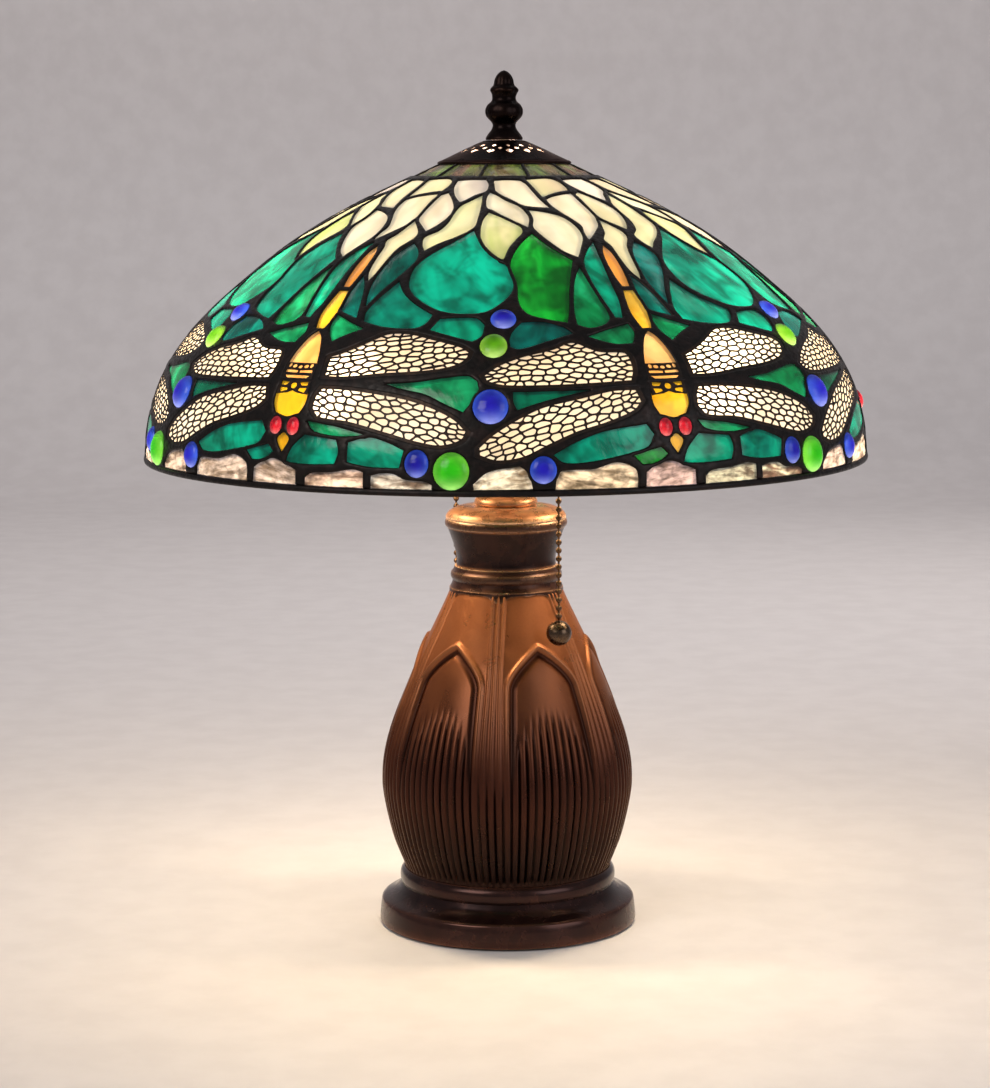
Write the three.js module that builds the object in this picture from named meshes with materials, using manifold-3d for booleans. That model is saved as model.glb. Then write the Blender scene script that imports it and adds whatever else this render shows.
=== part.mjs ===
// Stained glass table lamp: a leaded dome shade with dragonflies on a cast urn base,
// two pull-chain lampholders on a cluster, a vented heat cap and a screwed finial.
// Millimetres, +Z up. The origin is the middle of the underside of the felt.
import * as THREE from 'three';
import * as BufferGeometryUtils from 'three/addons/utils/BufferGeometryUtils.js';
import Module from 'manifold-3d';

const wasm = await Module();
wasm.setup();

// ---- driving dimensions ----
const SHADE_RIM_RADIUS = 205.4;    // a nominal 16 inch shade
const SHADE_RIM_Z = 272.9;
const GLASS_THICKNESS = 3.2;
const SEAM_GAP = 0.3;              // left between neighbouring pieces
const REPEATS = 6;                 // dragonflies round the shade
const DRAGONFLY_FRONT_DEG = -34.5; // turn of the first dragonfly from the front (-Y) towards +X
const PIPE_RADIUS = 5.0;           // threaded lamp pipe
const PIPE_BORE = 3.5;
const PIPE_HOLE = 5.4;             // hole for the pipe in every stacked casting
const PIPE_BOTTOM_Z = 12;
const RISER_RADIUS = 3.2;          // rod that carries shade, cap and finial
const RISER_HOLE = 3.6;
const RISER_TOP_Z = 461;
const CLUSTER_Z = 315;             // height of the two lampholders' common axis
const CLUSTER_RADIUS = 11;
const CLUSTER_HALF_HEIGHT = 12;
const SOCKET_START = 14.3;         // where a lampholder's cap begins, from the lamp's axis
const GUIDE_OUT = 29.5;            // chain guide, along the lampholder from the lamp's axis
const CHAIN_OFFSET = 47;           // chain, sideways from the lampholder's axis
const CHAIN_RADIUS = 1.6;
const CHAIN_TOP_Z = 305.5;
const PULL_BALL_RADIUS = 7;
const PULL_BALL_Z = 177;
const FOOT_TOP_Z = 33;
const VASE_TOP_Z = 196.3;

const ROUND = 48;                  // facets round the shade
const TURNED = 32;                 // facets round the base castings
const NECK = 24;                   // facets round the stacked neck pieces and the heat cap
const SMALL = 16;                  // facets round the fittings

const lamp = new THREE.Group();

// ---- materials ----
function finish(color, roughness, metalness, opacity = 1) {
  return new THREE.MeshStandardMaterial({ color, roughness, metalness, opacity, transparent: opacity < 1 });
}
const darkBronze = () => finish(0x1e1411, 0.42, 0.8);
const copperBronze = () => finish(0x7a4424, 0.38, 0.85);
const brass = () => finish(0x9a7434, 0.35, 0.95);
const steel = () => finish(0x8d8f92, 0.4, 0.95);
const phenolic = () => finish(0x17110e, 0.5, 0.0);

// ---- geometry helpers ----

// Merges shared vertices, drops empty triangles and turns the faces outward.
function solid(geometry) {
  const bare = geometry.clone();
  bare.deleteAttribute('normal');
  bare.deleteAttribute('uv');
  const merged = BufferGeometryUtils.mergeVertices(bare, 1e-4);
  const index = merged.getIndex().array;
  const position = merged.getAttribute('position');
  const corner = [new THREE.Vector3(), new THREE.Vector3(), new THREE.Vector3()];
  const kept = [];
  let volume = 0;
  for (let i = 0; i < index.length; i += 3) {
    const [a, b, c] = [index[i], index[i + 1], index[i + 2]];
    if (a === b || b === c || c === a) continue;
    [a, b, c].forEach((vertex, k) => corner[k].fromBufferAttribute(position, vertex));
    volume += corner[0].dot(corner[1].clone().cross(corner[2]));
    kept.push(a, b, c);
  }
  if (volume < 0) kept.reverse();
  merged.setIndex(kept);
  return merged;
}

// A profile of [radius, height] pairs turned round Z. It starts and ends on the axis,
// or closes on itself.
function turned(profile, facets = TURNED) {
  const points = profile.map(([radius, height]) => new THREE.Vector2(radius, height));
  if (profile[0][0] > 0) points.push(points[0].clone());
  return solid(new THREE.LatheGeometry(points, facets).rotateX(Math.PI / 2));
}

// The same profile turned round X: heights become distances along +X.
function turnedAlongX(profile, facets = SMALL) {
  return turned(profile, facets).rotateY(Math.PI / 2);
}

function tube(inner, outer, bottom, top, facets = SMALL) {
  return turned([[inner, bottom], [outer, bottom], [outer, top], [inner, top]], facets);
}

function hexNut(hole, cornerRadius, bottom, top) {
  const corner = (i) => {
    const turn = (i * Math.PI) / 3;
    return new THREE.Vector2(cornerRadius * Math.cos(turn), cornerRadius * Math.sin(turn));
  };
  const shape = new THREE.Shape([0, 1, 2, 3, 4, 5].map(corner));
  shape.holes.push(new THREE.Path().absarc(0, 0, hole, 0, Math.PI * 2, true));
  const options = { depth: top - bottom, bevelEnabled: false, curveSegments: 6 };
  return solid(new THREE.ExtrudeGeometry(shape, options)).translate(0, 0, bottom);
}

function toManifold(geometry) {
  const merged = solid(geometry);
  const vertProperties = new Float32Array(merged.getAttribute('position').array);
  const triVerts = new Uint32Array(merged.getIndex().array);
  return new wasm.Manifold(new wasm.Mesh({ numProp: 3, vertProperties, triVerts }));
}

function fromManifold(manifold) {
  const mesh = manifold.getMesh();
  const geometry = new THREE.BufferGeometry();
  geometry.setAttribute('position', new THREE.BufferAttribute(new Float32Array(mesh.vertProperties), 3));
  geometry.setIndex([...mesh.triVerts]);
  return geometry;
}

function cut(geometry, ...tools) {
  return fromManifold(tools.reduce((body, tool) => body.subtract(toManifold(tool)), toManifold(geometry)));
}

function join(...pieces) {
  return fromManifold(pieces.map(toManifold).reduce((body, piece) => body.add(piece)));
}

function addPart(name, geometry, material, turnDeg = 0) {
  const mesh = new THREE.Mesh(geometry, material);
  mesh.name = name;
  mesh.rotation.z = THREE.MathUtils.degToRad(turnDeg);
  lamp.add(mesh);
}

// ---- the dome: outer surface of the shade ----
// Radius and height above the rim down the slope, from the edge of the top hole to the rim.
const DOME_PROFILE = [
  [36, 166.6], [60, 155.5], [90, 141], [120, 123.1], [150, 99.8], [172, 79.8], [187, 62],
  [197, 44], [203, 24], [SHADE_RIM_RADIUS, 6], [SHADE_RIM_RADIUS, 0],
];
const domePoints = DOME_PROFILE.map(([radius, above]) => new THREE.Vector3(radius, SHADE_RIM_Z + above, 0));
const domeCurve = new THREE.CatmullRomCurve3(domePoints, false, 'centripetal');
const DOME_SLOPE = domeCurve.getLength();

// Point of the dome's section, a distance down the slope and a lift out of the surface.
function domeSection(slope, lift = 0) {
  const along = THREE.MathUtils.clamp(slope / DOME_SLOPE, 0, 1);
  const point = domeCurve.getPointAt(along);
  const direction = domeCurve.getTangentAt(along);
  return [point.x - direction.y * lift, point.y + direction.x * lift];
}

// The same point in the round: turned from the front towards +X.
function domePoint(turnDeg, slope, lift) {
  const [radius, height] = domeSection(slope, lift);
  const turn = THREE.MathUtils.degToRad(turnDeg);
  return [radius * Math.sin(turn), -radius * Math.cos(turn), height];
}

// A ring of the shade between two slope distances.
function domeBand(from, to, steps, thickness = GLASS_THICKNESS, lift = 0) {
  const rows = [...Array(steps + 1).keys()].map((i) => from + ((to - from) * i) / steps);
  const outer = rows.map((slope) => domeSection(slope, lift));
  const inner = rows.map((slope) => domeSection(slope, lift - thickness)).reverse();
  return turned([...outer, ...inner], ROUND);
}

// A thin closed plate over the dome. place(u, v) gives [turn in degrees, slope], u and v from 0 to 1.
function domePlate(place, columns, rows, lift, thickness) {
  const corners = [];
  for (const height of [lift, lift + thickness]) {
    for (let j = 0; j <= rows; j += 1) {
      for (let i = 0; i <= columns; i += 1) {
        const [turn, slope] = place(i / columns, j / rows);
        corners.push(...domePoint(turn, slope, height));
      }
    }
  }
  const layer = (columns + 1) * (rows + 1);
  const at = (i, j, top) => top * layer + j * (columns + 1) + i;
  const index = [];
  const quad = (a, b, c, d) => index.push(a, b, c, a, c, d);
  for (let j = 0; j < rows; j += 1) {
    for (let i = 0; i < columns; i += 1) {
      quad(at(i, j, 1), at(i + 1, j, 1), at(i + 1, j + 1, 1), at(i, j + 1, 1));
      quad(at(i, j, 0), at(i, j + 1, 0), at(i + 1, j + 1, 0), at(i + 1, j, 0));
    }
  }
  for (let i = 0; i < columns; i += 1) {
    quad(at(i, 0, 0), at(i + 1, 0, 0), at(i + 1, 0, 1), at(i, 0, 1));
    quad(at(i, rows, 1), at(i + 1, rows, 1), at(i + 1, rows, 0), at(i, rows, 0));
  }
  for (let j = 0; j < rows; j += 1) {
    quad(at(0, j, 1), at(0, j + 1, 1), at(0, j + 1, 0), at(0, j, 0));
    quad(at(columns, j, 0), at(columns, j + 1, 0), at(columns, j + 1, 1), at(columns, j, 1));
  }
  const geometry = new THREE.BufferGeometry();
  geometry.setAttribute('position', new THREE.Float32BufferAttribute(corners, 3));
  geometry.setIndex(index);
  return solid(geometry);
}

// ---- base ----

function addBase() {
  addPart('felt_pad', turned([[0, 0], [71, 0], [71, 1.2], [0, 1.2]]), finish(0x1c3a26, 1, 0));

  const foot = turned([
    [PIPE_HOLE, 29], [55, 29], [57, 26], [58, 21.5], [61, 17], [65, 13], [69.6, 8], [71, 1.5], [74.7, 1.5],
    [74.9, 3], [74.3, 9], [73.5, 14.2], [71.8, 15.6], [67.5, 17.6], [64.5, 20], [62.3, 22.4], [62, 24],
    [62.6, 26], [62.6, 29], [61.8, 31.4], [60.5, FOOT_TOP_Z], [PIPE_HOLE, FOOT_TOP_Z],
  ]);
  const cordHole = new THREE.CylinderGeometry(4.3, 4.3, 20, 12).translate(0, 72, 9.5);
  addPart('foot_plinth', cut(foot, cordHole), darkBronze());

  const bushing = turned([[2.4, -7], [3.9, -7], [3.9, 1.2], [5.6, 1.2], [5.2, 3], [2.4, 3]], 12);
  addPart('cord_bushing', bushing.rotateX(-Math.PI / 2).translate(0, 74.1, 9.5), phenolic());

  const wall = 4;
  const vaseOuter = [
    [59.9, FOOT_TOP_Z + SEAM_GAP], [60.4, 35.5], [63, 42], [66.2, 50.5], [69.6, 64], [71.8, 75],
    [72.5, 86], [72, 96], [70.2, 106], [67.4, 116], [63.8, 126.5], [55, 148], [45.2, 168.7], [37, 188],
    [34.6, VASE_TOP_Z],
  ];
  const vaseInner = [
    [32, VASE_TOP_Z - wall], [50, 148], [62, 117], [67.6, 92], [67, 74], [56, 35],
    [56, FOOT_TOP_Z + SEAM_GAP],
  ];
  const topHole = [[PIPE_HOLE, VASE_TOP_Z], [PIPE_HOLE, VASE_TOP_Z - wall]];
  addPart('vase_body', turned([...vaseOuter, ...topHole, ...vaseInner]), copperBronze());

  const stacked = {
    neck_collar: [[32, 196.6], [31, 201.4], [31.8, 203], [31.8, 206], [30.4, 208], [29.8, 209.6]],
    neck_sleeve: [[28.8, 209.9], [28.6, 214], [30.2, 221.5], [32.8, 229], [33.9, 232]],
    neck_lip: [[34.6, 232.3], [35.2, 233.6], [35.2, 235.4], [34.4, 236.9]],
    neck_top_disc: [[34.7, 237.2], [34.6, 238.6], [33.2, 240.6], [29.6, 242.7], [23, 244.2]],
    neck_step: [[17.4, 244.6], [18, 246.2], [17.4, 248.4], [13, 250.6]],
  };
  for (const [name, outline] of Object.entries(stacked)) {
    const bottom = outline[0][1];
    const top = outline[outline.length - 1][1];
    const bore = [[PIPE_HOLE, top], [PIPE_HOLE, bottom]];
    const bronze = name === 'neck_sleeve' ? darkBronze() : copperBronze();
    addPart(name, turned([...outline, ...bore], NECK), bronze);
  }

  addPart('lamp_pipe', tube(PIPE_BORE, PIPE_RADIUS, PIPE_BOTTOM_Z, 309), steel());
  addPart('pipe_cover', tube(PIPE_HOLE, 6.8, 251, 302.6), darkBronze());
  addPart('bottom_washer', tube(PIPE_HOLE, 16, 26.2, 28.6), steel());
  addPart('bottom_nut', hexNut(PIPE_HOLE, 9.2, 19.8, 25.8), brass());
}

// ---- cluster and lampholders ----

// Each lampholder is built along +X, then turned half a turn for the second one.
function addLampholder(number, turnDeg) {
  const named = (piece) => `${piece}_${number}`;
  const alongX = (profile, facets) => turnedAlongX(profile, facets).translate(0, 0, CLUSTER_Z);
  const place = (piece, geometry, material) => addPart(named(piece), geometry, material, turnDeg);

  place('socket_nipple', alongX([[2.8, 6.6], [4.6, 6.6], [4.6, 20], [2.8, 20]], 12), steel());

  const cap = [
    [5, 0], [9, 0], [13.8, 2], [17.2, 6], [18.6, 10], [18.6, 23], [17.4, 23], [17.4, 10.5],
    [16, 7], [13, 3.4], [8.8, 1.3], [5, 1.3],
  ].map(([radius, along]) => [radius, SOCKET_START + along]);
  place('socket_cap', alongX(cap), brass());

  place('switch_body', alongX([[0, 26.4], [15.4, 26.4], [15.4, 43], [0, 43]]), phenolic());
  const shell = [[16.3, 37.6], [17.2, 37.6], [17.2, 63.5], [18, 65], [17.2, 66.4], [16.3, 66.4]];
  place('socket_shell', alongX(shell), brass());
  const sleeve = [[15, 43.6], [15.9, 43.6], [15.9, 65.6], [15, 65.6]];
  place('insulating_sleeve', alongX(sleeve), finish(0xb9a27a, 0.9, 0));
  place('screw_shell', alongX([[13.7, 43.6], [14.6, 43.6], [14.6, 62.4], [13.7, 62.4]]), brass());

  const base = [[0, 45.4], [4.2, 45.4], [6, 47.6], [12.2, 49.6], [13, 51], [13, 62.6], [0, 62.6]];
  place('bulb_base', alongX(base), steel());
  const globe = [
    [0, 123.6], [11, 121.6], [21.6, 114.6], [28.6, 101], [28.6, 89], [21.6, 75.6], [12.6, 63],
    [11.4, 63], [20.4, 76.4], [27.4, 89.6], [27.4, 100.4], [20.6, 113.6], [0, 122.4],
  ];
  place('bulb_glass', alongX(globe), finish(0xfff3dc, 0.3, 0, 0.6));

  // The guide leaves the cap sideways and bends down, so that the chain hangs straight out of it.
  const guidePath = new THREE.CurvePath();
  const bend = 8;
  const start = new THREE.Vector3(GUIDE_OUT, -19.1, CLUSTER_Z);
  const bendStart = new THREE.Vector3(GUIDE_OUT, -CHAIN_OFFSET + bend, CLUSTER_Z);
  const corner = new THREE.Vector3(GUIDE_OUT, -CHAIN_OFFSET, CLUSTER_Z);
  const bendEnd = new THREE.Vector3(GUIDE_OUT, -CHAIN_OFFSET, CLUSTER_Z - bend);
  const mouth = new THREE.Vector3(GUIDE_OUT, -CHAIN_OFFSET, CLUSTER_Z - bend - 12);
  guidePath.add(new THREE.LineCurve3(start, bendStart));
  guidePath.add(new THREE.QuadraticBezierCurve3(bendStart, corner, bendEnd));
  guidePath.add(new THREE.LineCurve3(bendEnd, mouth));
  const section = new THREE.Shape().absarc(0, 0, 3.6, 0, Math.PI * 2);
  section.holes.push(new THREE.Path().absarc(0, 0, 2.5, 0, Math.PI * 2, true));
  const guide = new THREE.ExtrudeGeometry(section, { steps: 9, curveSegments: 5, extrudePath: guidePath });
  place('chain_guide', solid(guide), brass());

  const ballTop = PULL_BALL_Z + PULL_BALL_RADIUS + SEAM_GAP;
  const chainTop = new THREE.Vector3(GUIDE_OUT, -CHAIN_OFFSET, CHAIN_TOP_Z);
  const chainEnd = new THREE.Vector3(GUIDE_OUT, -CHAIN_OFFSET, ballTop);
  const chainPath = new THREE.LineCurve3(chainTop, chainEnd);
  const chainSection = new THREE.Shape().absarc(0, 0, CHAIN_RADIUS, 0, Math.PI * 2);
  const chainOptions = { steps: 16, curveSegments: 4, extrudePath: chainPath };
  place('pull_chain', solid(new THREE.ExtrudeGeometry(chainSection, chainOptions)), brass());

  const ball = new THREE.SphereGeometry(PULL_BALL_RADIUS, 14, 8).rotateX(Math.PI / 2);
  place('pull_ball', solid(ball).translate(GUIDE_OUT, -CHAIN_OFFSET, PULL_BALL_Z), darkBronze());
}

function addCluster() {
  const bottom = CLUSTER_Z - CLUSTER_HALF_HEIGHT;
  const top = CLUSTER_Z + CLUSTER_HALF_HEIGHT;
  const hub = turned([
    [0, bottom], [CLUSTER_RADIUS - 1.5, bottom], [CLUSTER_RADIUS, bottom + 2], [CLUSTER_RADIUS, top - 3],
    [CLUSTER_RADIUS - 4, top], [0, top],
  ], SMALL);
  const pipeBore = new THREE.CylinderGeometry(PIPE_HOLE, PIPE_HOLE, 18, 16).rotateX(Math.PI / 2)
    .translate(0, 0, CLUSTER_Z - 10);
  const riserBore = new THREE.CylinderGeometry(RISER_HOLE, RISER_HOLE, 20, 16).rotateX(Math.PI / 2)
    .translate(0, 0, CLUSTER_Z + 6);
  const crossBore = new THREE.CylinderGeometry(5, 5, 40, 16).rotateZ(Math.PI / 2).translate(0, 0, CLUSTER_Z);
  addPart('cluster_hub', cut(hub, pipeBore, riserBore, crossBore), brass());
  addLampholder(1, 0);
  addLampholder(2, 180);
  const riserStart = CLUSTER_Z + 6;
  const riser = [[0, riserStart], [RISER_RADIUS, riserStart], [RISER_RADIUS, RISER_TOP_Z], [0, RISER_TOP_Z]];
  addPart('riser_rod', turned(riser, 12), steel());
}

// ---- shade carrier, heat cap and finial ----

function addShadeCarrier() {
  const wheel = new THREE.Shape().absarc(0, 0, 33.4, 0, Math.PI * 2);
  wheel.holes.push(new THREE.Path().absarc(0, 0, RISER_HOLE, 0, Math.PI * 2, true));
  const spokes = 3;
  for (let i = 0; i < spokes; i += 1) {
    const from = (Math.PI * 2 * i) / spokes + 0.16;
    const to = (Math.PI * 2 * (i + 1)) / spokes - 0.16;
    const window = new THREE.Path();
    window.absarc(0, 0, 28, from, to, false);
    window.absarc(0, 0, 10, to - 0.25, from + 0.25, true);
    wheel.holes.push(window);
  }
  const plate = new THREE.ExtrudeGeometry(wheel, { depth: 2.5, bevelEnabled: false, curveSegments: 6 });
  addPart('shade_wheel', solid(plate).translate(0, 0, 433.8), steel());
  addPart('wheel_nut', hexNut(RISER_HOLE, 6.6, 429.2, 433.5), brass());
}

// Rows of diamond vents from the lowest up. stagger is in steps round the row.
const VENTS_PER_ROW = 14;
const VENT_FRONT_DEG = 7;
const VENT_ROWS = [
  { radius: 23.8, width: 5.6, length: 5.4, stagger: 0 },
  { radius: 20.7, width: 3.6, length: 3.5, stagger: 0.5 },
  { radius: 17.4, width: 3.5, length: 3.4, stagger: 0 },
];

function addHeatCap() {
  const outer = [
    [37.5, 439.6], [37.8, 440], [35, 441.4], [30, 443.8], [24, 446.7], [18, 449.4], [11, 452.2],
  ];
  const inner = [[11, 450.9], [17.6, 448.2], [23.6, 445.4], [29.6, 442.5], [34.6, 440.2], [36.3, 439.6]];
  const cap = turned([...outer, [RISER_HOLE, 452.2], [RISER_HOLE, 450.9], ...inner], NECK);
  const step = 360 / VENTS_PER_ROW;
  const tools = [];
  for (const { radius, width, length, stagger } of VENT_ROWS) {
    for (let i = 0; i < VENTS_PER_ROW; i += 1) {
      const turn = VENT_FRONT_DEG - 90 + (i + stagger) * step;
      const diamond = new THREE.BoxGeometry(Math.SQRT1_2, Math.SQRT1_2, 16).rotateZ(Math.PI / 4);
      const vent = diamond.scale(length, width, 1).translate(radius, 0, 447);
      tools.push(vent.rotateZ(THREE.MathUtils.degToRad(turn)));
    }
  }
  addPart('heat_cap', cut(cap, ...tools), darkBronze());
}

function addFinial() {
  const profile = [
    [0, 462], [RISER_HOLE, 462], [RISER_HOLE, 452.5], [10.6, 452.5], [10.6, 453.6], [8.6, 456.2],
    [6.8, 459.4], [7, 462.6], [9.4, 465.4], [10.5, 469], [9.6, 472.4], [7, 475], [6.8, 477.8],
    [8, 480.6], [7, 483], [4.8, 486.8], [2.4, 490], [0, 491.5],
  ];
  addPart('finial', turned(profile, SMALL), darkBronze());
}

// ---- the leaded shade ----

// Wings as [centre turn, centre slope] at root and tip, and half breadths there, seen from the front.
const WINGS = [
  { root: [4.6, 184], tip: [29, 176], half: 9.5 },
  { root: [4.6, 204], tip: [29, 221], half: 9 },
  { root: [-4.6, 185], tip: [-29, 189], half: 9.5 },
  { root: [-4.6, 204], tip: [-29.4, 229], half: 9 },
];

function dragonflyPlate(turnDeg) {
  const lift = 0.8;
  const thickness = 1.1;
  const wings = WINGS.map(({ root, tip, half }) => domePlate((u, v) => {
    const along = u;
    const breadth = half * Math.sqrt(Math.sin(Math.PI * (0.14 + 0.76 * along)));
    const centre = root[1] + (tip[1] - root[1]) * along;
    const reach = (root[0] > 0 ? -1.2 : 1.2) * (1 - along);
    return [turnDeg + root[0] + reach + (tip[0] - root[0]) * along, centre + (v - 0.5) * 2 * breadth];
  }, 4, 2, lift, thickness));
  const body = domePlate((u, v) => {
    const slope = 96 + (228 - 96) * v;
    const half = v < 0.5 ? 1.7 : 3.6;
    return [turnDeg + (u - 0.5) * 2 * half, slope];
  }, 1, 6, lift - 0.05, thickness + 0.1);
  return join(body, ...wings);
}

function addShade() {
  const glass = (color) => finish(color, 0.25, 0, 0.75);
  addPart('aperture_ring', tube(30, 35.1, 436.8, 439.3, ROUND), brass());
  addPart('crown_glass', domeBand(1.2, 18.7, 1), glass(0xb59f80));
  addPart('crown_lead_ring', domeBand(19, 22, 1, 4.4, 0.6), darkBronze());
  addPart('leaf_glass', domeBand(22.3, 99.7, 3), glass(0xefe3bd));
  addPart('field_glass', domeBand(100, 159.7, 3), glass(0x0f7f63));
  addPart('dragonfly_glass', domeBand(160, 234.7, 4), glass(0xf1d9a8));
  addPart('border_lead_ring', domeBand(235, 238, 1, 4.4, 0.6), darkBronze());
  addPart('border_glass', domeBand(238.3, 247.7, 1), glass(0xc9b7a0));
  addPart('rim_band', domeBand(248, DOME_SLOPE, 1, 4.6, 0.7), darkBronze());
  for (let i = 0; i < REPEATS; i += 1) {
    const turn = DRAGONFLY_FRONT_DEG + (360 / REPEATS) * i;
    addPart(`dragonfly_filigree_${i + 1}`, dragonflyPlate(turn), darkBronze());
  }
}

addBase();
addCluster();
addShadeCarrier();
addHeatCap();
addFinial();
addShade();

export default lamp;
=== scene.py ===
"""Looks of the stained glass table lamp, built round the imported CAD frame.

Lengths in the helpers are millimetres; new_piece() turns them into metres.
The shade's pattern is drawn once, for one of its six repeats, as outlines of
(degrees round from the dragonfly's axis, millimetres down the slope).
"""
import math
from collections import namedtuple

import bmesh
import bpy
import numpy as np
from mathutils import Matrix, Vector
from mathutils.geometry import delaunay_2d_cdt
from mathutils.kdtree import KDTree


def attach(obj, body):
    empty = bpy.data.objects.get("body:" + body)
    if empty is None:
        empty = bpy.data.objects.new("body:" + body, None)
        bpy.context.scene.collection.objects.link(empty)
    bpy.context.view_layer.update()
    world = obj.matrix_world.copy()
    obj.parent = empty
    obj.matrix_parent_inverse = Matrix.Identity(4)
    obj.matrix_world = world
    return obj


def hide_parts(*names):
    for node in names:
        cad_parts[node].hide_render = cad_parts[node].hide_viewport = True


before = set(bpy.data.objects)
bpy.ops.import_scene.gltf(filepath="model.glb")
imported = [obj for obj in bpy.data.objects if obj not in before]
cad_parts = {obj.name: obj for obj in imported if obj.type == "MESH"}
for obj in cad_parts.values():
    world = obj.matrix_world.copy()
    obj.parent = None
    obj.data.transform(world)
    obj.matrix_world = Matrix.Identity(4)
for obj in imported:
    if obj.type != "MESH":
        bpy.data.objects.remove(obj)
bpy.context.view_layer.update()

MM = 0.001
NOISE = np.random.default_rng(7)

# Dimensions shared with the CAD, in millimetres.
REPEATS = 6
REPEAT_DEG = 360 / REPEATS
DRAGONFLY_FRONT_DEG = -34.5
RIM_Z = 272.9
DOME_PROFILE = [
    (36, 166.6), (60, 155.5), (90, 141), (120, 123.1), (150, 99.8), (172, 79.8), (187, 62),
    (197, 44), (203, 24), (205.4, 6), (205.4, 0),
]
GLASS_THICKNESS = 3.2
CLUSTER_Z = 315
PIPE_BORE = 5.6            # radius left round the lamp pipe in each turned piece of the base
GUIDE_OUT = 29.5
CHAIN_OFFSET = 47
CHAIN_TOP_Z = 305.5
PULL_BALL_Z = 177
PULL_BALL_RADIUS = 7
BEAD_PITCH = 4.66           # from one bead of the pull chains to the next
URN_RIB_DEG = -7.5          # turn of one of the urn's rib groups from the front


def add_object(name, data):
    made = bpy.data.objects.new(name, data)
    bpy.context.scene.collection.objects.link(made)
    return made


# ---------------------------------------------------------------- camera

def add_camera():
    """A long lens a little above the rim, looking slightly down."""
    pitch, yaw, roll = (math.radians(angle) for angle in (7.71, -0.2292, -0.3))
    forward = Vector((math.sin(yaw) * math.cos(pitch), math.cos(yaw) * math.cos(pitch), -math.sin(pitch)))
    level = Vector((math.cos(yaw), -math.sin(yaw), 0))
    right = math.cos(roll) * level + math.sin(roll) * level.cross(forward)
    axes = Matrix((right, right.cross(forward), -forward)).transposed().to_4x4()
    data = bpy.data.cameras.new("camera")
    data.sensor_width = 36
    data.lens = 92.647
    camera = add_object("camera", data)
    camera.matrix_world = Matrix.Translation(Vector((0, -1603.2, 438.5)) * MM) @ axes
    bpy.context.scene.camera = camera


# ---------------------------------------------------------------- mesh helpers

def new_piece(name, points, faces, materials, body, replaces=(), slot=None, slots=None):
    """A smooth mesh from points in millimetres. slots gives each face's material number."""
    mesh = bpy.data.meshes.new(name)
    mesh.from_pydata((np.asarray(points, float) * MM).tolist(), [], [tuple(int(i) for i in f) for f in faces])
    for mat in materials if isinstance(materials, list) else [materials]:
        mesh.materials.append(mat)
    if slots is not None:
        mesh.polygons.foreach_set("material_index", np.asarray(slots, dtype=np.int32))
    mesh.polygons.foreach_set("use_smooth", [True] * len(mesh.polygons))
    mesh.update()
    piece = add_object(name, mesh)
    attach(piece, body)
    if replaces:
        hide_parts(*replaces)
    return piece


def sharpen(piece, degrees=38):
    """Keeps crisp edges on an otherwise smooth piece."""
    piece.data.set_sharp_from_angle(angle=math.radians(degrees))


def clean(piece, distance=1e-6):
    """Merges doubled points and turns the faces outward."""
    bm = bmesh.new()
    bm.from_mesh(piece.data)
    bmesh.ops.remove_doubles(bm, verts=bm.verts, dist=distance)
    bmesh.ops.dissolve_degenerate(bm, edges=bm.edges, dist=distance)
    bmesh.ops.recalc_face_normals(bm, faces=bm.faces)
    bm.to_mesh(piece.data)
    bm.free()


def point_layer(piece, name, kind, values):
    """Keeps a number, a vector or a colour with each point, for the materials to read."""
    key = {"FLOAT": "value", "FLOAT_VECTOR": "vector", "FLOAT_COLOR": "color"}[kind]
    if kind == "FLOAT_COLOR":
        values = np.hstack([values, np.ones((len(values), 1))])
    piece.data.attributes.new(name, kind, "POINT").data.foreach_set(key, np.asarray(values, float).ravel())


def circle(count):
    """Angles in even steps all the way round."""
    return np.arange(count) * 2 * math.pi / count


def ring_faces(rings, around, closed=True):
    """Quads between rings of points that follow each other; closed joins the last to the first."""
    i = np.arange(around)
    j = (i + 1) % around
    faces = []
    for k in range(rings if closed else rings - 1):
        m = (k + 1) % rings
        faces.append(np.stack([k * around + i, k * around + j, m * around + j, m * around + i], 1))
    return np.vstack(faces)


def fan(first, around, tip):
    """Triangles from a ring of points to a single point."""
    i = np.arange(around)
    return np.stack([first + i, first + (i + 1) % around, np.full(around, tip)], 1)


def smooth_profile(points, step):
    """A centripetal curve through profile points, sampled about every step millimetres."""
    p = np.asarray(points, float)
    p = np.vstack([2 * p[0] - p[1], p, 2 * p[-1] - p[-2]])
    out = []
    for i in range(1, len(p) - 2):
        p0, p1, p2, p3 = p[i - 1:i + 3]
        t0 = 0.0
        t1 = t0 + max(np.linalg.norm(p1 - p0), 1e-6) ** 0.5
        t2 = t1 + max(np.linalg.norm(p2 - p1), 1e-6) ** 0.5
        t3 = t2 + max(np.linalg.norm(p3 - p2), 1e-6) ** 0.5
        count = max(1, int(round(np.linalg.norm(p2 - p1) / step)))
        for t in t1 + (t2 - t1) * np.arange(count) / count:
            a1 = (t1 - t) / (t1 - t0) * p0 + (t - t0) / (t1 - t0) * p1
            a2 = (t2 - t) / (t2 - t1) * p1 + (t - t1) / (t2 - t1) * p2
            a3 = (t3 - t) / (t3 - t2) * p2 + (t - t2) / (t3 - t2) * p3
            b1 = (t2 - t) / (t2 - t0) * a1 + (t - t0) / (t2 - t0) * a2
            b2 = (t3 - t) / (t3 - t1) * a2 + (t - t1) / (t3 - t1) * a3
            out.append((t2 - t) / (t2 - t1) * b1 + (t - t1) / (t2 - t1) * b2)
    out.append(p[-2])
    return np.array(out)


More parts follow.
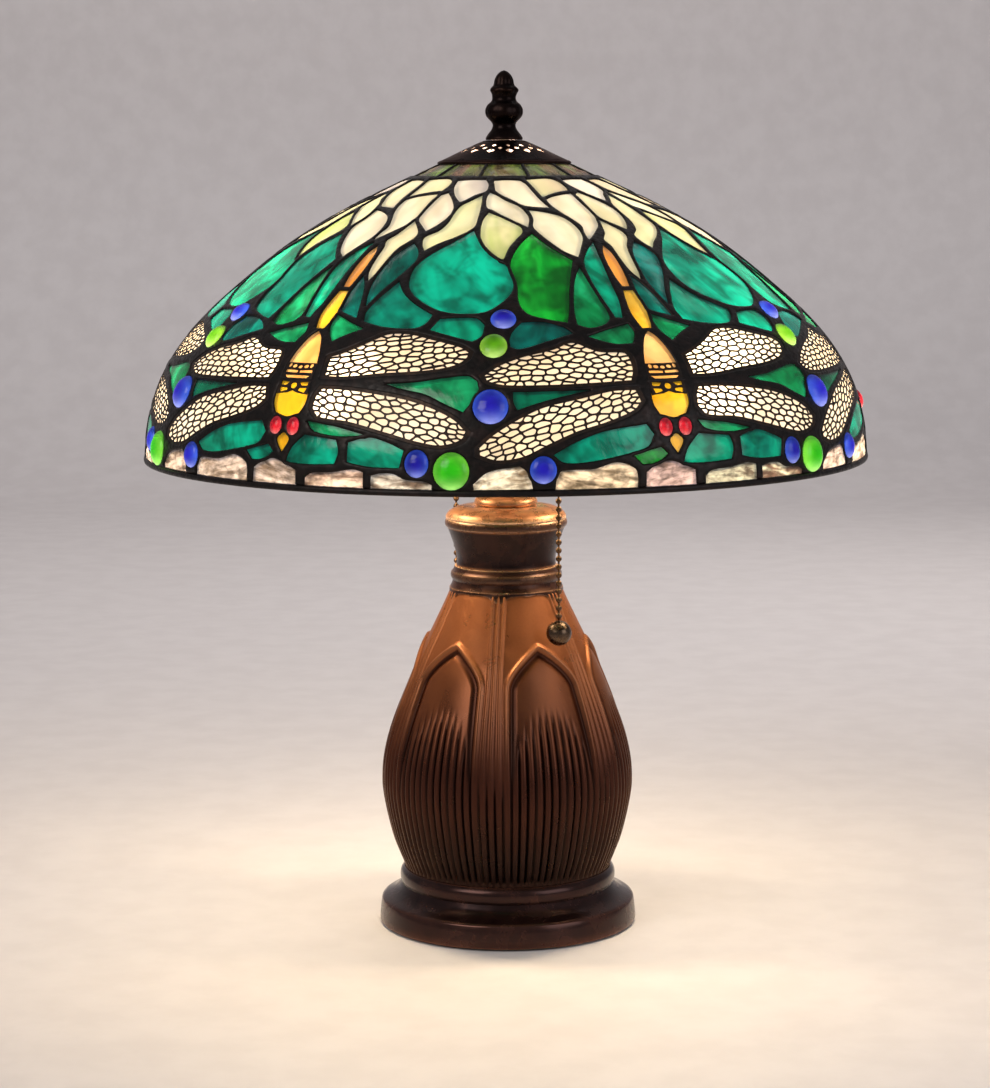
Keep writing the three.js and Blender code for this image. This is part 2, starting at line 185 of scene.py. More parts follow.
def turned(name, profile, material, body, replaces=(), facets=96, slot=None, place=None, sharp=38):
    """A closed profile of (radius, height) turned round Z. place moves it, as a Matrix in millimetres."""
    points = np.array([(r * math.cos(a), r * math.sin(a), z) for r, z in profile for a in circle(facets)])
    if place is not None:
        place = np.array(place)
        points = points @ place[:3, :3].T + place[:3, 3]
    piece = new_piece(name, points, ring_faces(len(profile), facets), material, body, replaces, slot)
    clean(piece)
    sharpen(piece, sharp)
    return piece


def rounded(corners, radius, steps):
    """Rounds the corners of a closed outline of (x, y) points with short arcs."""
    out = []
    for i, p in enumerate(corners):
        before, after = corners[i - 1] - p, corners[(i + 1) % len(corners)] - p
        lb, la = np.linalg.norm(before), np.linalg.norm(after)
        cut = min(radius, lb * 0.45, la * 0.45)
        if cut < 0.02:
            out.append(p)
            continue
        start, end = p + before / lb * cut, p + after / la * cut
        for t in np.arange(steps + 1) / steps:
            out.append((1 - t) ** 2 * start + 2 * t * (1 - t) * p + t ** 2 * end)
    return np.array(out)


# ---------------------------------------------------------------- the dome

DOME_LINE = smooth_profile([(r, RIM_Z + z) for r, z in DOME_PROFILE], 1.0)
DOME_ALONG = np.concatenate([[0], np.cumsum(np.linalg.norm(np.diff(DOME_LINE, axis=0), axis=1))])
DOME_SLOPE = float(DOME_ALONG[-1])
DOME_TANGENT = np.gradient(DOME_LINE, DOME_ALONG, axis=0)
DOME_TANGENT /= np.linalg.norm(DOME_TANGENT, axis=1)[:, None]


def dome_radius(slope):
    return np.interp(slope, DOME_ALONG, DOME_LINE[:, 0])


def dome(turn_deg, slope, lift=0.0):
    """Points of the shade's outer surface, turned from the front towards +X, lifted out of it."""
    a, slope, lift = np.broadcast_arrays(np.radians(turn_deg), np.asarray(slope, float), lift)
    r, z, tr, tz = (np.interp(slope, DOME_ALONG, column) for column in (*DOME_LINE.T, *DOME_TANGENT.T))
    r, z = r - tz * lift, z + tr * lift
    return np.stack([r * np.sin(a), -r * np.cos(a), z], -1)


def flat_scale(slope):
    """What turns (degrees, slope) into flat millimetres near one slope."""
    return np.array([math.radians(1) * float(dome_radius(slope)), 1.0])


def gap_between(points, others):
    """Distance from each flat point to the nearest of the others."""
    return np.linalg.norm(points[:, None] - others[None], axis=2).min(axis=1)


def smooth_outline(points):
    """A closed curve through (degrees, slope) points, kept sharp where it turns hard."""
    step, cosine = 1.2, math.cos(math.radians(48))
    p = np.asarray(points, float)
    scale = flat_scale(p[:, 1].mean())
    p = p * scale
    n = len(p)
    unit = lambda v: v / max(np.linalg.norm(v), 1e-9)
    out = []
    for i in range(n):
        a, b, c, d = p[i - 1], p[i], p[(i + 1) % n], p[(i + 2) % n]
        length = np.linalg.norm(c - b)
        t0 = unit(c - a) if np.dot(unit(b - a), unit(c - b)) > cosine else unit(c - b)
        t1 = unit(d - b) if np.dot(unit(c - b), unit(d - c)) > cosine else unit(c - b)
        count = max(2, int(round(length / step)))
        for t in np.arange(count) / count:
            h0, h1 = 2 * t ** 3 - 3 * t ** 2 + 1, -2 * t ** 3 + 3 * t ** 2
            g0, g1 = t ** 3 - 2 * t ** 2 + t, t ** 3 - t ** 2
            out.append(h0 * b + h1 * c + g0 * t0 * length + g1 * t1 * length)
    return np.array(out) / scale


def oval(turn, slope, half_width, half_height, count=28):
    """An oval of true size in millimetres round a point of the dome."""
    a = circle(count)
    return np.stack([half_width * np.cos(a), half_height * np.sin(a)], 1) / flat_scale(slope) + [turn, slope]


def inside(polygon, points):
    """Which points lie in a polygon."""
    x, y = points[:, 0], points[:, 1]
    hit = np.zeros(len(points), bool)
    for (x0, y0), (x1, y1) in zip(polygon, np.roll(polygon, -1, axis=0)):
        crosses = (y0 > y) != (y1 > y)
        if y0 != y1:
            hit ^= crosses & (x < (x1 - x0) * (y - y0) / (y1 - y0) + x0)
    return hit


def grow(outline, amount):
    """Pushes a closed (degrees, slope) outline outward by millimetres."""
    scale = flat_scale(outline[:, 1].mean())
    p = outline * scale
    ahead, behind = np.roll(p, -1, axis=0), np.roll(p, 1, axis=0)
    along = ahead - behind
    along /= np.maximum(np.linalg.norm(along, axis=1), 1e-9)[:, None]
    area = np.sum(p[:, 0] * ahead[:, 1] - ahead[:, 0] * p[:, 1])
    out = np.stack([along[:, 1], -along[:, 0]], 1) * math.copysign(1, area)
    return (p + out * amount) / scale


def triangulate(outlines, seeds, extra_edges=()):
    """Constrained triangles of outlines and loose points, with the outlines each lies in.

    Works on (degrees, slope) points; degrees are stretched so that triangles stay even.
    """
    stretch = 2.4
    points, edges, faces = [], [], []
    for outline in outlines:
        first = len(points)
        points += [(x * stretch, y) for x, y in outline]
        loop = list(range(first, len(points)))
        ahead = np.roll(outline, -1, axis=0)
        turning = np.sum(outline[:, 0] * ahead[:, 1] - ahead[:, 0] * outline[:, 1])
        faces.append(loop if turning > 0 else loop[::-1])
    for line in extra_edges:
        first = len(points)
        points += [(x * stretch, y) for x, y in line]
        edges += [(i, i + 1) for i in range(first, len(points) - 1)]
    points += [(x * stretch, y) for x, y in seeds]
    found = delaunay_2d_cdt([Vector(p) for p in points], edges, faces, 0, 1e-5)
    verts = np.array([(v.x / stretch, v.y) for v in found[0]])
    return verts, np.array(found[2]), found[5]


# ---------------------------------------------------------------- the shade's pattern
#
# Colours are linear: the glass and its streaks.

TINTS = {
    "crown": ((0.24, 0.16, 0.11), (0.22, 0.36, 0.08)),
    "ivory": ((0.86, 0.80, 0.56), (0.95, 0.92, 0.78)),
    "lilac": ((0.70, 0.64, 0.68), (0.92, 0.88, 0.76)),
    "cream": ((0.90, 0.84, 0.60), (0.84, 0.86, 0.52)),
    "leaf": ((0.88, 0.82, 0.56), (0.50, 0.66, 0.18)),
    "dark_teal": ((0.0, 0.10, 0.10), (0.0, 0.28, 0.26)),
    "teal": ((0.0, 0.20, 0.15), (0.0, 0.54, 0.38)),
    "green": ((0.0, 0.20, 0.07), (0.01, 0.50, 0.22)),
    "bright_green": ((0.0, 0.28, 0.02), (0.01, 0.66, 0.06)),
    "deep_green": ((0.0, 0.09, 0.06), (0.0, 0.17, 0.11)),
    "wing": ((1.0, 0.85, 0.68), (1.0, 0.78, 0.55)),
    "orange": ((0.90, 0.36, 0.05), (0.97, 0.60, 0.22)),
    "yellow": ((0.95, 0.50, 0.02), (1.0, 0.72, 0.12)),
    "peach": ((0.95, 0.45, 0.11), (0.98, 0.60, 0.25)),
    "amber": ((0.94, 0.46, 0.008), (0.97, 0.58, 0.02)),
    "red": ((0.74, 0.01, 0.03), (0.85, 0.06, 0.10)),
    "blue": ((0.012, 0.010, 0.46), (0.05, 0.14, 0.95)),
    "jewel_green": ((0.02, 0.40, 0.006), (0.22, 0.85, 0.08)),
    "lime": ((0.10, 0.40, 0.006), (0.34, 0.76, 0.08)),
    "border": ((0.84, 0.74, 0.66), (0.20, 0.14, 0.11)),
}

# One repeat, as (tint, outline). Degrees run from the dragonfly's axis towards its right wing,
# and on into the next repeat past 60.
LEAF_PANES = [
    ("cream", [(46.5, 22), (54, 21), (61, 21), (64.5, 24), (65.6, 31), (64.8, 36), (59, 38), (54, 41),
               (50.3, 44.2), (49.6, 38), (48.2, 29)]),
    ("lilac", [(8, 23), (16, 22), (24.2, 22), (26.2, 27), (26.6, 33), (25.8, 37), (22, 41.5), (19, 47.5),
               (17.4, 50), (15, 45.5), (11.5, 37.5), (9, 30)]),
    ("ivory", [(28.8, 23), (36, 22.3), (43, 23), (45.5, 27.5), (47, 36), (48.4, 46), (50.6, 57), (46, 56),
               (41.8, 54.2), (38, 48), (33, 40.5), (30.5, 35.5), (29.6, 29)]),
    ("ivory", [(51.2, 47), (54.5, 43.8), (59.5, 41.3), (64.6, 39.8), (64.6, 52), (64.9, 66), (63.9, 74),
               (61, 81.5), (57.3, 89.8), (57, 84), (57.8, 77), (56.2, 69.5), (53.8, 62), (51.8, 54)]),
    ("ivory", [(6.4, 41), (9, 38.3), (12, 44), (14.8, 51.5), (16.2, 58), (16, 66), (14.2, 74.5), (11.8, 81),
               (9.6, 76), (7, 70.3), (6.1, 66.5), (6.1, 54)]),
    ("cream", [(25.2, 41.2), (25.9, 52), (26, 68), (25.4, 77.5), (21.5, 86), (17, 93), (14.4, 98.8),
               (12.9, 92.5), (12.6, 86.5), (15.6, 80.5), (17.2, 72), (17.6, 62), (18.6, 54), (21.5, 48)]),
    ("ivory", [(28.2, 38), (31.2, 41.5), (35, 48), (39, 53.5), (41, 59), (42.2, 67), (41.3, 77), (38.6, 73),
               (34.5, 66), (30.8, 59.5), (28.5, 56.5), (27.5, 49), (27.5, 42)]),
    ("ivory", [(42.9, 59), (47, 60.8), (52, 65), (54.6, 70.5), (56, 79), (55.9, 87), (54, 96), (52, 105),
               (49.2, 100), (46.6, 92), (44, 82.5), (42.9, 76.5), (43.6, 68)]),
    ("leaf", [(29.2, 61.3), (32.5, 65.5), (36.5, 71.5), (39.2, 77), (39.4, 82), (37.4, 89), (35.4, 97),
              (34, 108.5), (31.4, 102.5), (29, 94), (27.9, 84), (27.8, 70)]),
    ("cream", [(5.4, 70.5), (7.6, 76), (9.5, 82.5), (9.4, 88), (7, 96), (5.8, 106), (5.2, 117), (4.4, 124),
               (3.2, 117), (2.7, 107), (2.5, 96), (1.7, 90), (3.4, 84), (4.6, 76)]),
]
FIELD_PANES = [
    ("dark_teal", [(10.4, 92), (12.5, 98), (13.5, 105), (12.8, 112), (10.8, 122), (8.8, 132), (7.2, 143.5),
                   (6.3, 134), (5.8, 125), (6.3, 112), (7.4, 101.5)]),
    ("teal", [(25.8, 80), (28, 91), (31, 101), (34.5, 110), (36.1, 121), (36, 131), (34, 139.5),
              (30.8, 146.8), (27, 148.2), (22.5, 146), (18, 138.5), (15, 130), (13.9, 120), (14.3, 111),
              (16.8, 101.5), (21.5, 90.5)]),
    ("bright_green", [(42, 83.3), (44.6, 92), (48, 101.5), (50.3, 107.5), (48.8, 119), (47.4, 132),
                      (46.5, 145), (45.6, 155), (42, 152.2), (38.6, 148), (37.2, 140), (37, 126),
                      (35.8, 115), (36.2, 105), (38.6, 93)]),
    ("green", [(51.4, 113), (52.1, 125), (52.9, 137), (53.7, 151), (52.6, 156), (49.5, 158.8),
               (47.3, 156.5), (47.4, 147), (48.4, 132), (49.7, 121)]),
    ("teal", [(58, 91.8), (57.6, 101), (57.2, 113), (57, 126), (56.9, 140), (56.1, 152.5), (54.8, 152),
              (53.9, 140), (53, 126), (52.9, 110), (55, 100)]),
    ("dark_teal", [(2.4, 120), (4, 127), (5.2, 136), (6.5, 152), (4.2, 149.5), (2, 146.5), (1.8, 134)]),
    ("teal", [(11.8, 124.3), (13.8, 132.5), (16.8, 140.5), (21.2, 149), (20.4, 155), (18.6, 158.5),
              (13, 158), (8.4, 154.5), (8, 147), (9.6, 135)]),
    ("green", [(2.1, 149.8), (5.4, 154.6), (9, 159.5), (6.3, 163.5), (3.9, 168.5), (2.6, 163), (1.9, 156)]),
    ("teal", [(22.8, 151.8), (29.2, 151.2), (30.9, 156), (30.5, 163.5), (29, 167.3), (25.5, 163.8),
              (21.4, 159.6)]),
    ("dark_teal", [(37.4, 154.4), (41.2, 154.2), (44.6, 158), (46.2, 162.3), (42, 166.8), (37, 172.2),
                   (35.1, 171), (35.6, 162)]),
    ("green", [(48.6, 164.6), (52, 160.8), (56.7, 156.5), (57.2, 163), (56.2, 169.8), (52.8, 169.6)]),
    ("green", [(16, 193.6), (21, 192.2), (25, 189.8), (28.8, 188.6), (30.2, 191.5), (30.4, 198),
               (28.3, 208.3), (25.5, 204), (22.5, 199), (18.5, 196)]),
    ("deep_green", [(35.6, 197.6), (47.5, 197), (43, 200.3), (39.3, 203.7), (36.2, 207.3), (35.7, 203)]),
    ("green", [(4, 215), (8, 216.6), (13.8, 221), (9.5, 222), (5.2, 219.6)]),
    ("teal", [(3.8, 222), (9.2, 224), (9.7, 230), (9.2, 236.3), (5, 237), (0.8, 236.6), (1.8, 229)]),
    ("teal", [(11.2, 225), (14.4, 222.2), (17.3, 224.6), (19.8, 228.4), (19.2, 237.3), (14.5, 237),
              (11.2, 235)]),
    ("teal", [(41.3, 230.5), (44.8, 224), (49, 219), (55.4, 216), (56.5, 221.5), (55.2, 227.8),
              (51, 231.5), (46.5, 234.2), (42.8, 234.4)]),
    ("bright_green", [(53, 231.6), (57.4, 228), (58.4, 231.6), (56.8, 235.6), (54.4, 236.4)]),
]
BODY_PANES = [
    ("orange", [(0.2, 95), (1.2, 101), (1.4, 111), (1.2, 121), (0.8, 129), (-0.8, 129), (-1.3, 121),
                (-1.4, 110), (-0.9, 101)]),
    ("yellow", [(-1.1, 132), (1.1, 132), (1.6, 141), (1.7, 150), (0.9, 160), (-0.9, 160), (-1.7, 150),
                (-1.6, 141)]),
    ("peach", [(0, 161.5), (1.2, 166), (2.2, 174), (2.8, 183), (2.9, 191.8), (-2.9, 191.8), (-2.8, 183),
               (-2.2, 174), (-1.2, 166)]),
    ("amber", [(-2.8, 193.6), (2.8, 193.6), (3, 205), (2.2, 211), (0, 213), (-2.2, 211), (-3, 205)]),
    ("amber", [(-1.1, 222.8), (0, 221.5), (1.1, 222.8), (1, 226), (0, 231.5), (-1, 226)]),
]
WING_PANES = [
    ("wing", [(4.4, 178), (7.5, 173.5), (11, 167), (14, 161.8), (18, 161.5), (23, 165.5), (27.5, 170),
              (29.3, 174), (28.8, 179), (26.5, 184), (22, 187), (15, 189), (9, 191.3), (4.6, 191.5)]),
    ("wing", [(5, 196), (9.5, 196.3), (14.5, 198), (19.5, 200.8), (23.5, 205), (27.3, 211.5),
              (29.4, 218.5), (28.6, 223.5), (25.5, 226.8), (22, 225.3), (17, 220.8), (11, 215.8),
              (5.4, 213.3), (3.9, 208), (4.1, 201)]),
    ("wing", [(55.3, 178), (54.4, 174.6), (50, 173.3), (45.8, 167.3), (42, 171.8), (37, 176.3),
              (33, 182), (30.5, 188.5), (31.4, 192.5), (34, 195), (40, 195.4), (48, 194.6),
              (54.6, 193.6), (55.4, 187)]),
    ("wing", [(55, 196.4), (55.7, 204), (54, 209.5), (49.5, 215.5), (45, 220), (41, 226), (37, 232.5),
              (33, 234.3), (30.3, 231.4), (30.2, 226.6), (32.4, 219.5), (36, 211.5), (40, 205),
              (45.5, 200.6), (51, 196.6)]),
]
BORDER_PANES = [
    ("border", [(54.9, 240.5), (56, 238), (58.3, 235.2), (60.5, 237), (62.7, 240.5), (62.8, 247.8),
                (54.8, 247.8)]),
    ("border", [(4.4, 244), (5.5, 241.5), (9, 240.5), (11.5, 239), (12.5, 238.8), (13.8, 240),
                (13.8, 247.8), (4.4, 247.8)]),
    ("border", [(15, 241.5), (16.5, 240.3), (18.5, 240.5), (20, 243), (23, 244), (24, 245.5),
                (24, 247.8), (15, 247.8)]),
    ("border", [(29.9, 245), (32, 239), (36.5, 236), (37.8, 240), (38.3, 247.5), (30, 247.8)]),
    ("border", [(41.8, 240.5), (42.5, 238.5), (47, 238), (50.5, 235), (53, 238), (53.5, 241),
                (53.5, 247.8), (41.5, 247.8)]),
]
# Cabochons as (tint, degrees, slope, half width, half height, height of the dome).
JEWELS = [
    ("blue", 34.2, 152.5, 6.2, 6.2, 3.6),
    ("lime", 32.6, 170.5, 6.6, 7.2, 3.8),
    ("blue", 32.3, 205.5, 8.6, 8.8, 4.6),
    ("blue", 21.8, 235, 5.8, 6.7, 3.4),
    ("jewel_green", 26.8, 238.5, 8.8, 9.2, 4.6),
    ("blue", 39.8, 238, 6.4, 6.6, 3.6),
    ("red", 1.6, 218, 3.4, 4.4, 2.6),
    ("red", -1.6, 218, 3.4, 4.4, 2.6),
]
CROWN_COUNT = 2             # panes of the crown row in one repeat
CROWN_SLOPES = 2.0, 17.6
CROWN_FIRST_DEG = 19.5
CROWN_LEAD = 2.0
LEAD_GAP = 1.9


class Pane:
    """One piece of glass: its family, tint, outline, and whether its neighbours make way for it."""

    def __init__(self, family, tint, outline, fixed=False, dome_height=0.0):
        self.family, self.tint, self.outline = family, tint, outline
        self.fixed, self.dome_height = fixed, dome_height


def crown_outlines():
    step = REPEAT_DEG / CROWN_COUNT
    half = [step / 2 - math.degrees(CROWN_LEAD / 2 / dome_radius(slope)) for slope in CROWN_SLOPES]
    first, last = CROWN_SLOPES
    for i in range(CROWN_COUNT):
        middle = CROWN_FIRST_DEG + (i + 0.5) * step
        yield [(middle - half[0], first), (middle + half[0], first), (middle + half[1], last),
               (middle - half[1], last)]


def one_repeat():
    """Every pane of one repeat, with the leads between them at least LEAD_GAP wide."""
    panes = [Pane("crown", "crown", smooth_outline(o)) for o in crown_outlines()]
    for family, group in (("leaf", LEAF_PANES), ("field", FIELD_PANES), ("body", BODY_PANES),
                          ("wing", WING_PANES), ("border", BORDER_PANES)):
        panes += [Pane(family, tint, smooth_outline(o), family == "wing") for tint, o in group]
    panes += [Pane("jewel", tint, oval(*place), True, height) for tint, *place, height in JEWELS]
    for _ in range(5):
        make_way(panes)
    return panes


def make_way(panes):
    """Draws outlines in where two panes come closer than the lead between them is wide."""
    copies = [(i, pane.outline + [turn, 0]) for i, pane in enumerate(panes)
              for turn in (-REPEAT_DEG, 0, REPEAT_DEG)]
    moved = []
    for i, pane in enumerate(panes):
        if pane.fixed:
            moved.append(pane.outline)
            continue
        scale = flat_scale(pane.outline[:, 1].mean())
        here = pane.outline * scale
        low, high = here.min(axis=0) - 4, here.max(axis=0) + 4
        push = np.zeros(len(here))
        for j, other in copies:
            there = other * scale
            if (there.max(axis=0) < low).any() or (there.min(axis=0) > high).any():
                continue
            if j == i and np.allclose(other, pane.outline):
                continue
            gap = gap_between(here, there)
            gap = np.where(inside(there, here), -gap, gap)
            share = 1.0 if panes[j].fixed else 0.5
            push = np.maximum(push, np.clip(LEAD_GAP - gap, 0, 3) * share)
        push = (np.roll(push, 1) + 2 * push + np.roll(push, -1)) / 4
        moved.append(grow(pane.outline, -push[:, None]))
    for pane, outline in zip(panes, moved):
        pane.outline = outline


# ---------------------------------------------------------------- glass and lead as meshes

def seeds_inside(outline, spacing, margin):
    """Staggered points inside an outline, clear of its edge."""
    scale = flat_scale(outline[:, 1].mean())
    flat = outline * scale
    low, high = flat.min(axis=0), flat.max(axis=0)
    points = [(x + (spacing / 2 if k % 2 else 0), y)
              for k, y in enumerate(np.arange(low[1], high[1], spacing * 0.87))
              for x in np.arange(low[0], high[0], spacing)]
    points = np.array(points).reshape(-1, 2)
    points = points[inside(flat, points)]
    if len(points):
        points = points[gap_between(points, flat) > margin]
    return points / scale


def open_edges(tris):
    """Directed edges that only one triangle uses."""
    edges = np.vstack([tris[:, [0, 1]], tris[:, [1, 2]], tris[:, [2, 0]]])
    keys = {}
    for a, b in edges.tolist():
        if keys.pop((b, a), None) is None:
            keys[(a, b)] = True
    return np.array(list(keys))


def web(outlines, seeds, half, side):
    """Triangles of whatever lies between outlines, in a strip from -half to half and along side."""
    border = [(-half, s) for s in side] + [(half, s) for s in side[::-1]] + [(-half, side[0])]
    chart, tris, owners = triangulate(outlines, seeds, [border])
    middle = chart[tris].mean(axis=1)
    keep = np.array([not owner for owner in owners])
    keep &= (np.abs(middle[:, 0]) < half) & (middle[:, 1] > side[0]) & (middle[:, 1] < side[-1])
    used, tris = np.unique(tris[keep], return_inverse=True)
    return chart[used], tris.reshape(-1, 3)


def slab(chart, tris, top, bottom, turn=0.0, surface=dome, seam=None):
    """A closed plate over a surface: faces above, faces below and walls round its open edges.

    Where pieces of it meet, at seam degrees to each side, it has no walls.
    """
    above = surface(chart[:, 0] + turn, chart[:, 1], top)
    below = surface(chart[:, 0] + turn, chart[:, 1], bottom)
    count = len(chart)
    a, b = open_edges(tris).T
    if seam is not None:
        off = (np.abs(np.abs(chart[a, 0]) - seam) > 1e-3) | (np.abs(chart[a, 0] - chart[b, 0]) > 1e-3)
        a, b = a[off], b[off]
    walls = np.vstack([np.stack([a, b, b + count], 1), np.stack([a, b + count, a + count], 1)])
    sides = np.repeat([0, 1, 2], [len(tris), len(tris), len(walls)])
    return np.vstack([above, below]), np.vstack([tris[:, ::-1], tris + count, walls]), sides


class Gathered:
    """Collects many small solids into one mesh, with a tint, a streak and a grain for each point."""

    def __init__(self):
        self.points, self.faces, self.sides, self.looks = [], [], [], []
        self.count = 0

    def add(self, points, faces, sides, *look):
        self.points.append(points)
        self.faces.append(faces + self.count)
        self.sides.append(sides)
        self.count += len(points)
        if look:
            self.looks.append([np.broadcast_to(part, (len(points), 3)) for part in look])

    def piece(self, name, materials, body, replaces=(), slot=None):
        made = new_piece(name, np.vstack(self.points), np.vstack(self.faces), materials, body, replaces,
                         slot, np.concatenate(self.sides))
        layers = (("tint", "FLOAT_COLOR"), ("streak", "FLOAT_COLOR"), ("grain", "FLOAT_VECTOR"))
        for (layer, kind), parts in zip(layers, zip(*self.looks)):
            point_layer(made, layer, kind, np.vstack(parts))
        sharpen(made)
        return made


def grain_of(points, lean_deg):
    """Coordinates in millimetres for the streaks of one pane, turned and moved at random."""
    lean = math.radians(lean_deg + NOISE.uniform(-25, 25))
    shift = NOISE.uniform(-400, 400, 3)
    x = np.arctan2(points[:, 0], -points[:, 1]) * np.hypot(points[:, 0], points[:, 1]).mean()
    y = points[:, 2] * 1.3
    return np.stack([x * math.cos(lean) - y * math.sin(lean), x * math.sin(lean) + y * math.cos(lean),
                     np.zeros(len(points))], 1) + shift


def varied(colour, amount):
    """A colour a little lighter or darker and warmer or cooler."""
    light = 1 + NOISE.uniform(-amount, amount)
    shift = 1 + NOISE.uniform(-amount, amount, 3) * 0.5
    return np.clip(np.array(colour) * light * shift, 0, 1)


# Each family's piece, node and slot; how far apart its mesh points lie; the height of its ripples
# and their length; how much its colour varies from pane to pane; and its streaks' lean in degrees.
Glass = namedtuple("Glass", "piece node slot spacing ripple wave vary lean")
GLASS = {
    "crown": Glass("crown_panes", "crown_glass", "crown_glass", 2.2, 0.45, 5.0, 0.25, 80),
    "leaf": Glass("leaf_panes", "leaf_glass", "ivory_glass", 3.2, 0.10, 9.0, 0.08, 80),
    "field": Glass("field_panes", "field_glass", "green_glass", 3.2, 0.12, 9.0, 0.16, 65),
    "body": Glass("dragonfly_body_panes", None, "wing_glass", 3.0, 0.05, 9.0, 0.04, 80),
    "wing": Glass("wing_panes", "dragonfly_glass", "wing_glass", 4.0, 0.05, 9.0, 0.03, 0),
    "border": Glass("border_panes", "border_glass", "rippled_glass", 2.0, 0.55, 4.6, 0.20, 10),
}
PILLOW = 0.35               # how far a pane swells between its leads
PANE_LAP = 0.35             # how far a pane reaches in under its leads


def edge_gap(points, edges):
    """Millimetres from each (degrees, slope) point to the nearest of the edge points."""
    tree = KDTree(len(edges))
    for i, place in enumerate(dome(edges[:, 0], edges[:, 1])):
        tree.insert(place, i)
    tree.balance()
    return np.array([tree.find(place)[2] for place in dome(points[:, 0], points[:, 1])])


def rippled(chart, look):
    """Waves over a pane's face, from -1 to 1 times its ripple height, different on every pane."""
    phase = NOISE.uniform(0, 2 * math.pi, 3)
    x = np.radians(chart[:, 0]) * dome_radius(chart[:, 1]) / look.wave
    y = chart[:, 1] / look.wave
    waves = np.sin(x * 1.3 + y * 2.6 + phase[0]) + np.sin(x * 2.4 - y * 4.1 + phase[1])
    return (waves + np.sin(x * 0.7 + y * 6.3 + phase[2])) / 3 * look.ripple


def repeat_turns():
    """How far each repeat's dragonfly is turned from the front, in degrees."""
    return [DRAGONFLY_FRONT_DEG + REPEAT_DEG * k for k in range(REPEATS)]


def glass_pieces(panes, materials):
    """Panes of the whole shade, one mesh for each family."""
    gathered = {family: Gathered() for family in GLASS}
    for pane in panes:
        if pane.family not in GLASS:
            continue
        look = GLASS[pane.family]
        outline = grow(pane.outline, PANE_LAP)
        chart, tris, owners = triangulate([outline], seeds_inside(outline, look.spacing, 1.1))
        tris = tris[[bool(owner) for owner in owners]]
        gap = edge_gap(chart, outline)
        pillow = PILLOW * (1 - np.exp(-gap / 1.8)) - 0.1
        for k, turn in enumerate(repeat_turns()):
            top = pillow + rippled(chart, look) * np.clip(gap / 1.5, 0, 1)
            points, faces, sides = slab(chart, tris, top, -GLASS_THICKNESS, turn)
            sides = np.minimum(sides, 1)
            base, streak = TINTS["teal" if pane.tint == "bright_green" and k % 2 else pane.tint]
            gathered[pane.family].add(points, faces, sides, varied(base, look.vary),
                                      varied(streak, look.vary), grain_of(points, look.lean))
    for family, look in GLASS.items():
        gathered[family].piece(look.piece, [materials[family], materials["glass_back"]], "shade",
                               [look.node] if look.node else (), look.slot)


JEWEL_PAINTED_GLINT = 0.9          # painted highlight: a cabochon's colour is paler along its lower edge, where the bulbs' light gathers


def jewel_piece(panes, materials):
    """The cabochons: a dome of glass in each oval hole, with a flat back."""
    gathered = Gathered()
    rings, around = 8, 28
    shares = np.sin(np.arange(rings, 0, -1) / rings * math.pi / 2)
    back, top = (rings + 1) * around, (rings + 1) * around + 1
    quads = ring_faces(rings + 1, around, closed=False)
    faces = np.vstack([quads[:, [0, 2, 1]], quads[:, [0, 3, 2]],
                       fan(rings * around, around, top)[:, ::-1], fan(0, around, back)])
    quad_sides = np.repeat([1] + [0] * (rings - 1), around)
    sides = np.concatenate([quad_sides, quad_sides, np.repeat([0, 1], around)])
    out = np.repeat([1.0, *shares, 1.0, 0.0], [around] * (rings + 1) + [1, 1])[:, None]
    for pane in (p for p in panes if p.family == "jewel"):
        centre = pane.outline.mean(axis=0)
        reach = grow(pane.outline, 0.5) - centre
        lower = np.concatenate([np.tile(reach[:, 1] / reach[:, 1].max(), rings + 1), [0, 0]])[:, None]
        for turn in repeat_turns():
            def at(share, lift):
                return dome(centre[0] + turn + reach[:, 0] * share, centre[1] + reach[:, 1] * share, lift)

            layers = [at(share, pane.dome_height * math.sqrt(max(0.0, 1 - share ** 2))) for share in shares]
            ends = dome(centre[0] + turn, centre[1], np.array([-2.6, pane.dome_height]))
            points = np.vstack([at(0.98, -2.4), *layers, ends])
            base, streak = TINTS[pane.tint]
            colour = varied(base, 0.1) * (1 - out ** 3) + varied(streak, 0.1) * out ** 3
            # painted highlight: the lower edge's colour is blended towards a pale tint of the streak colour
            bright = JEWEL_PAINTED_GLINT * np.clip(lower * out, 0, 1) ** 3
            colour = colour * (1 - bright) + (0.3 + 0.9 * np.array(streak)) * bright
            gathered.add(points, faces, sides, colour, colour * 0.8, grain_of(points, 0))
    clean(gathered.piece("jewels", [materials["jewel"], materials["glass_back"]], "shade", (), "green_glass"))


LEAD_TOP, LEAD_STEP, LEAD_REACH = 0.85, 0.15, 1.3
LEAD_RANGE = (0.8, DOME_SLOPE - 3.1)


def lead_height(gap):
    """Rounded came: height over the glass at a distance from the glass's edge."""
    share = np.clip(gap / LEAD_REACH, 0, 1)
    return LEAD_STEP + (LEAD_TOP - LEAD_STEP) * np.sqrt(1 - (1 - share) ** 2)


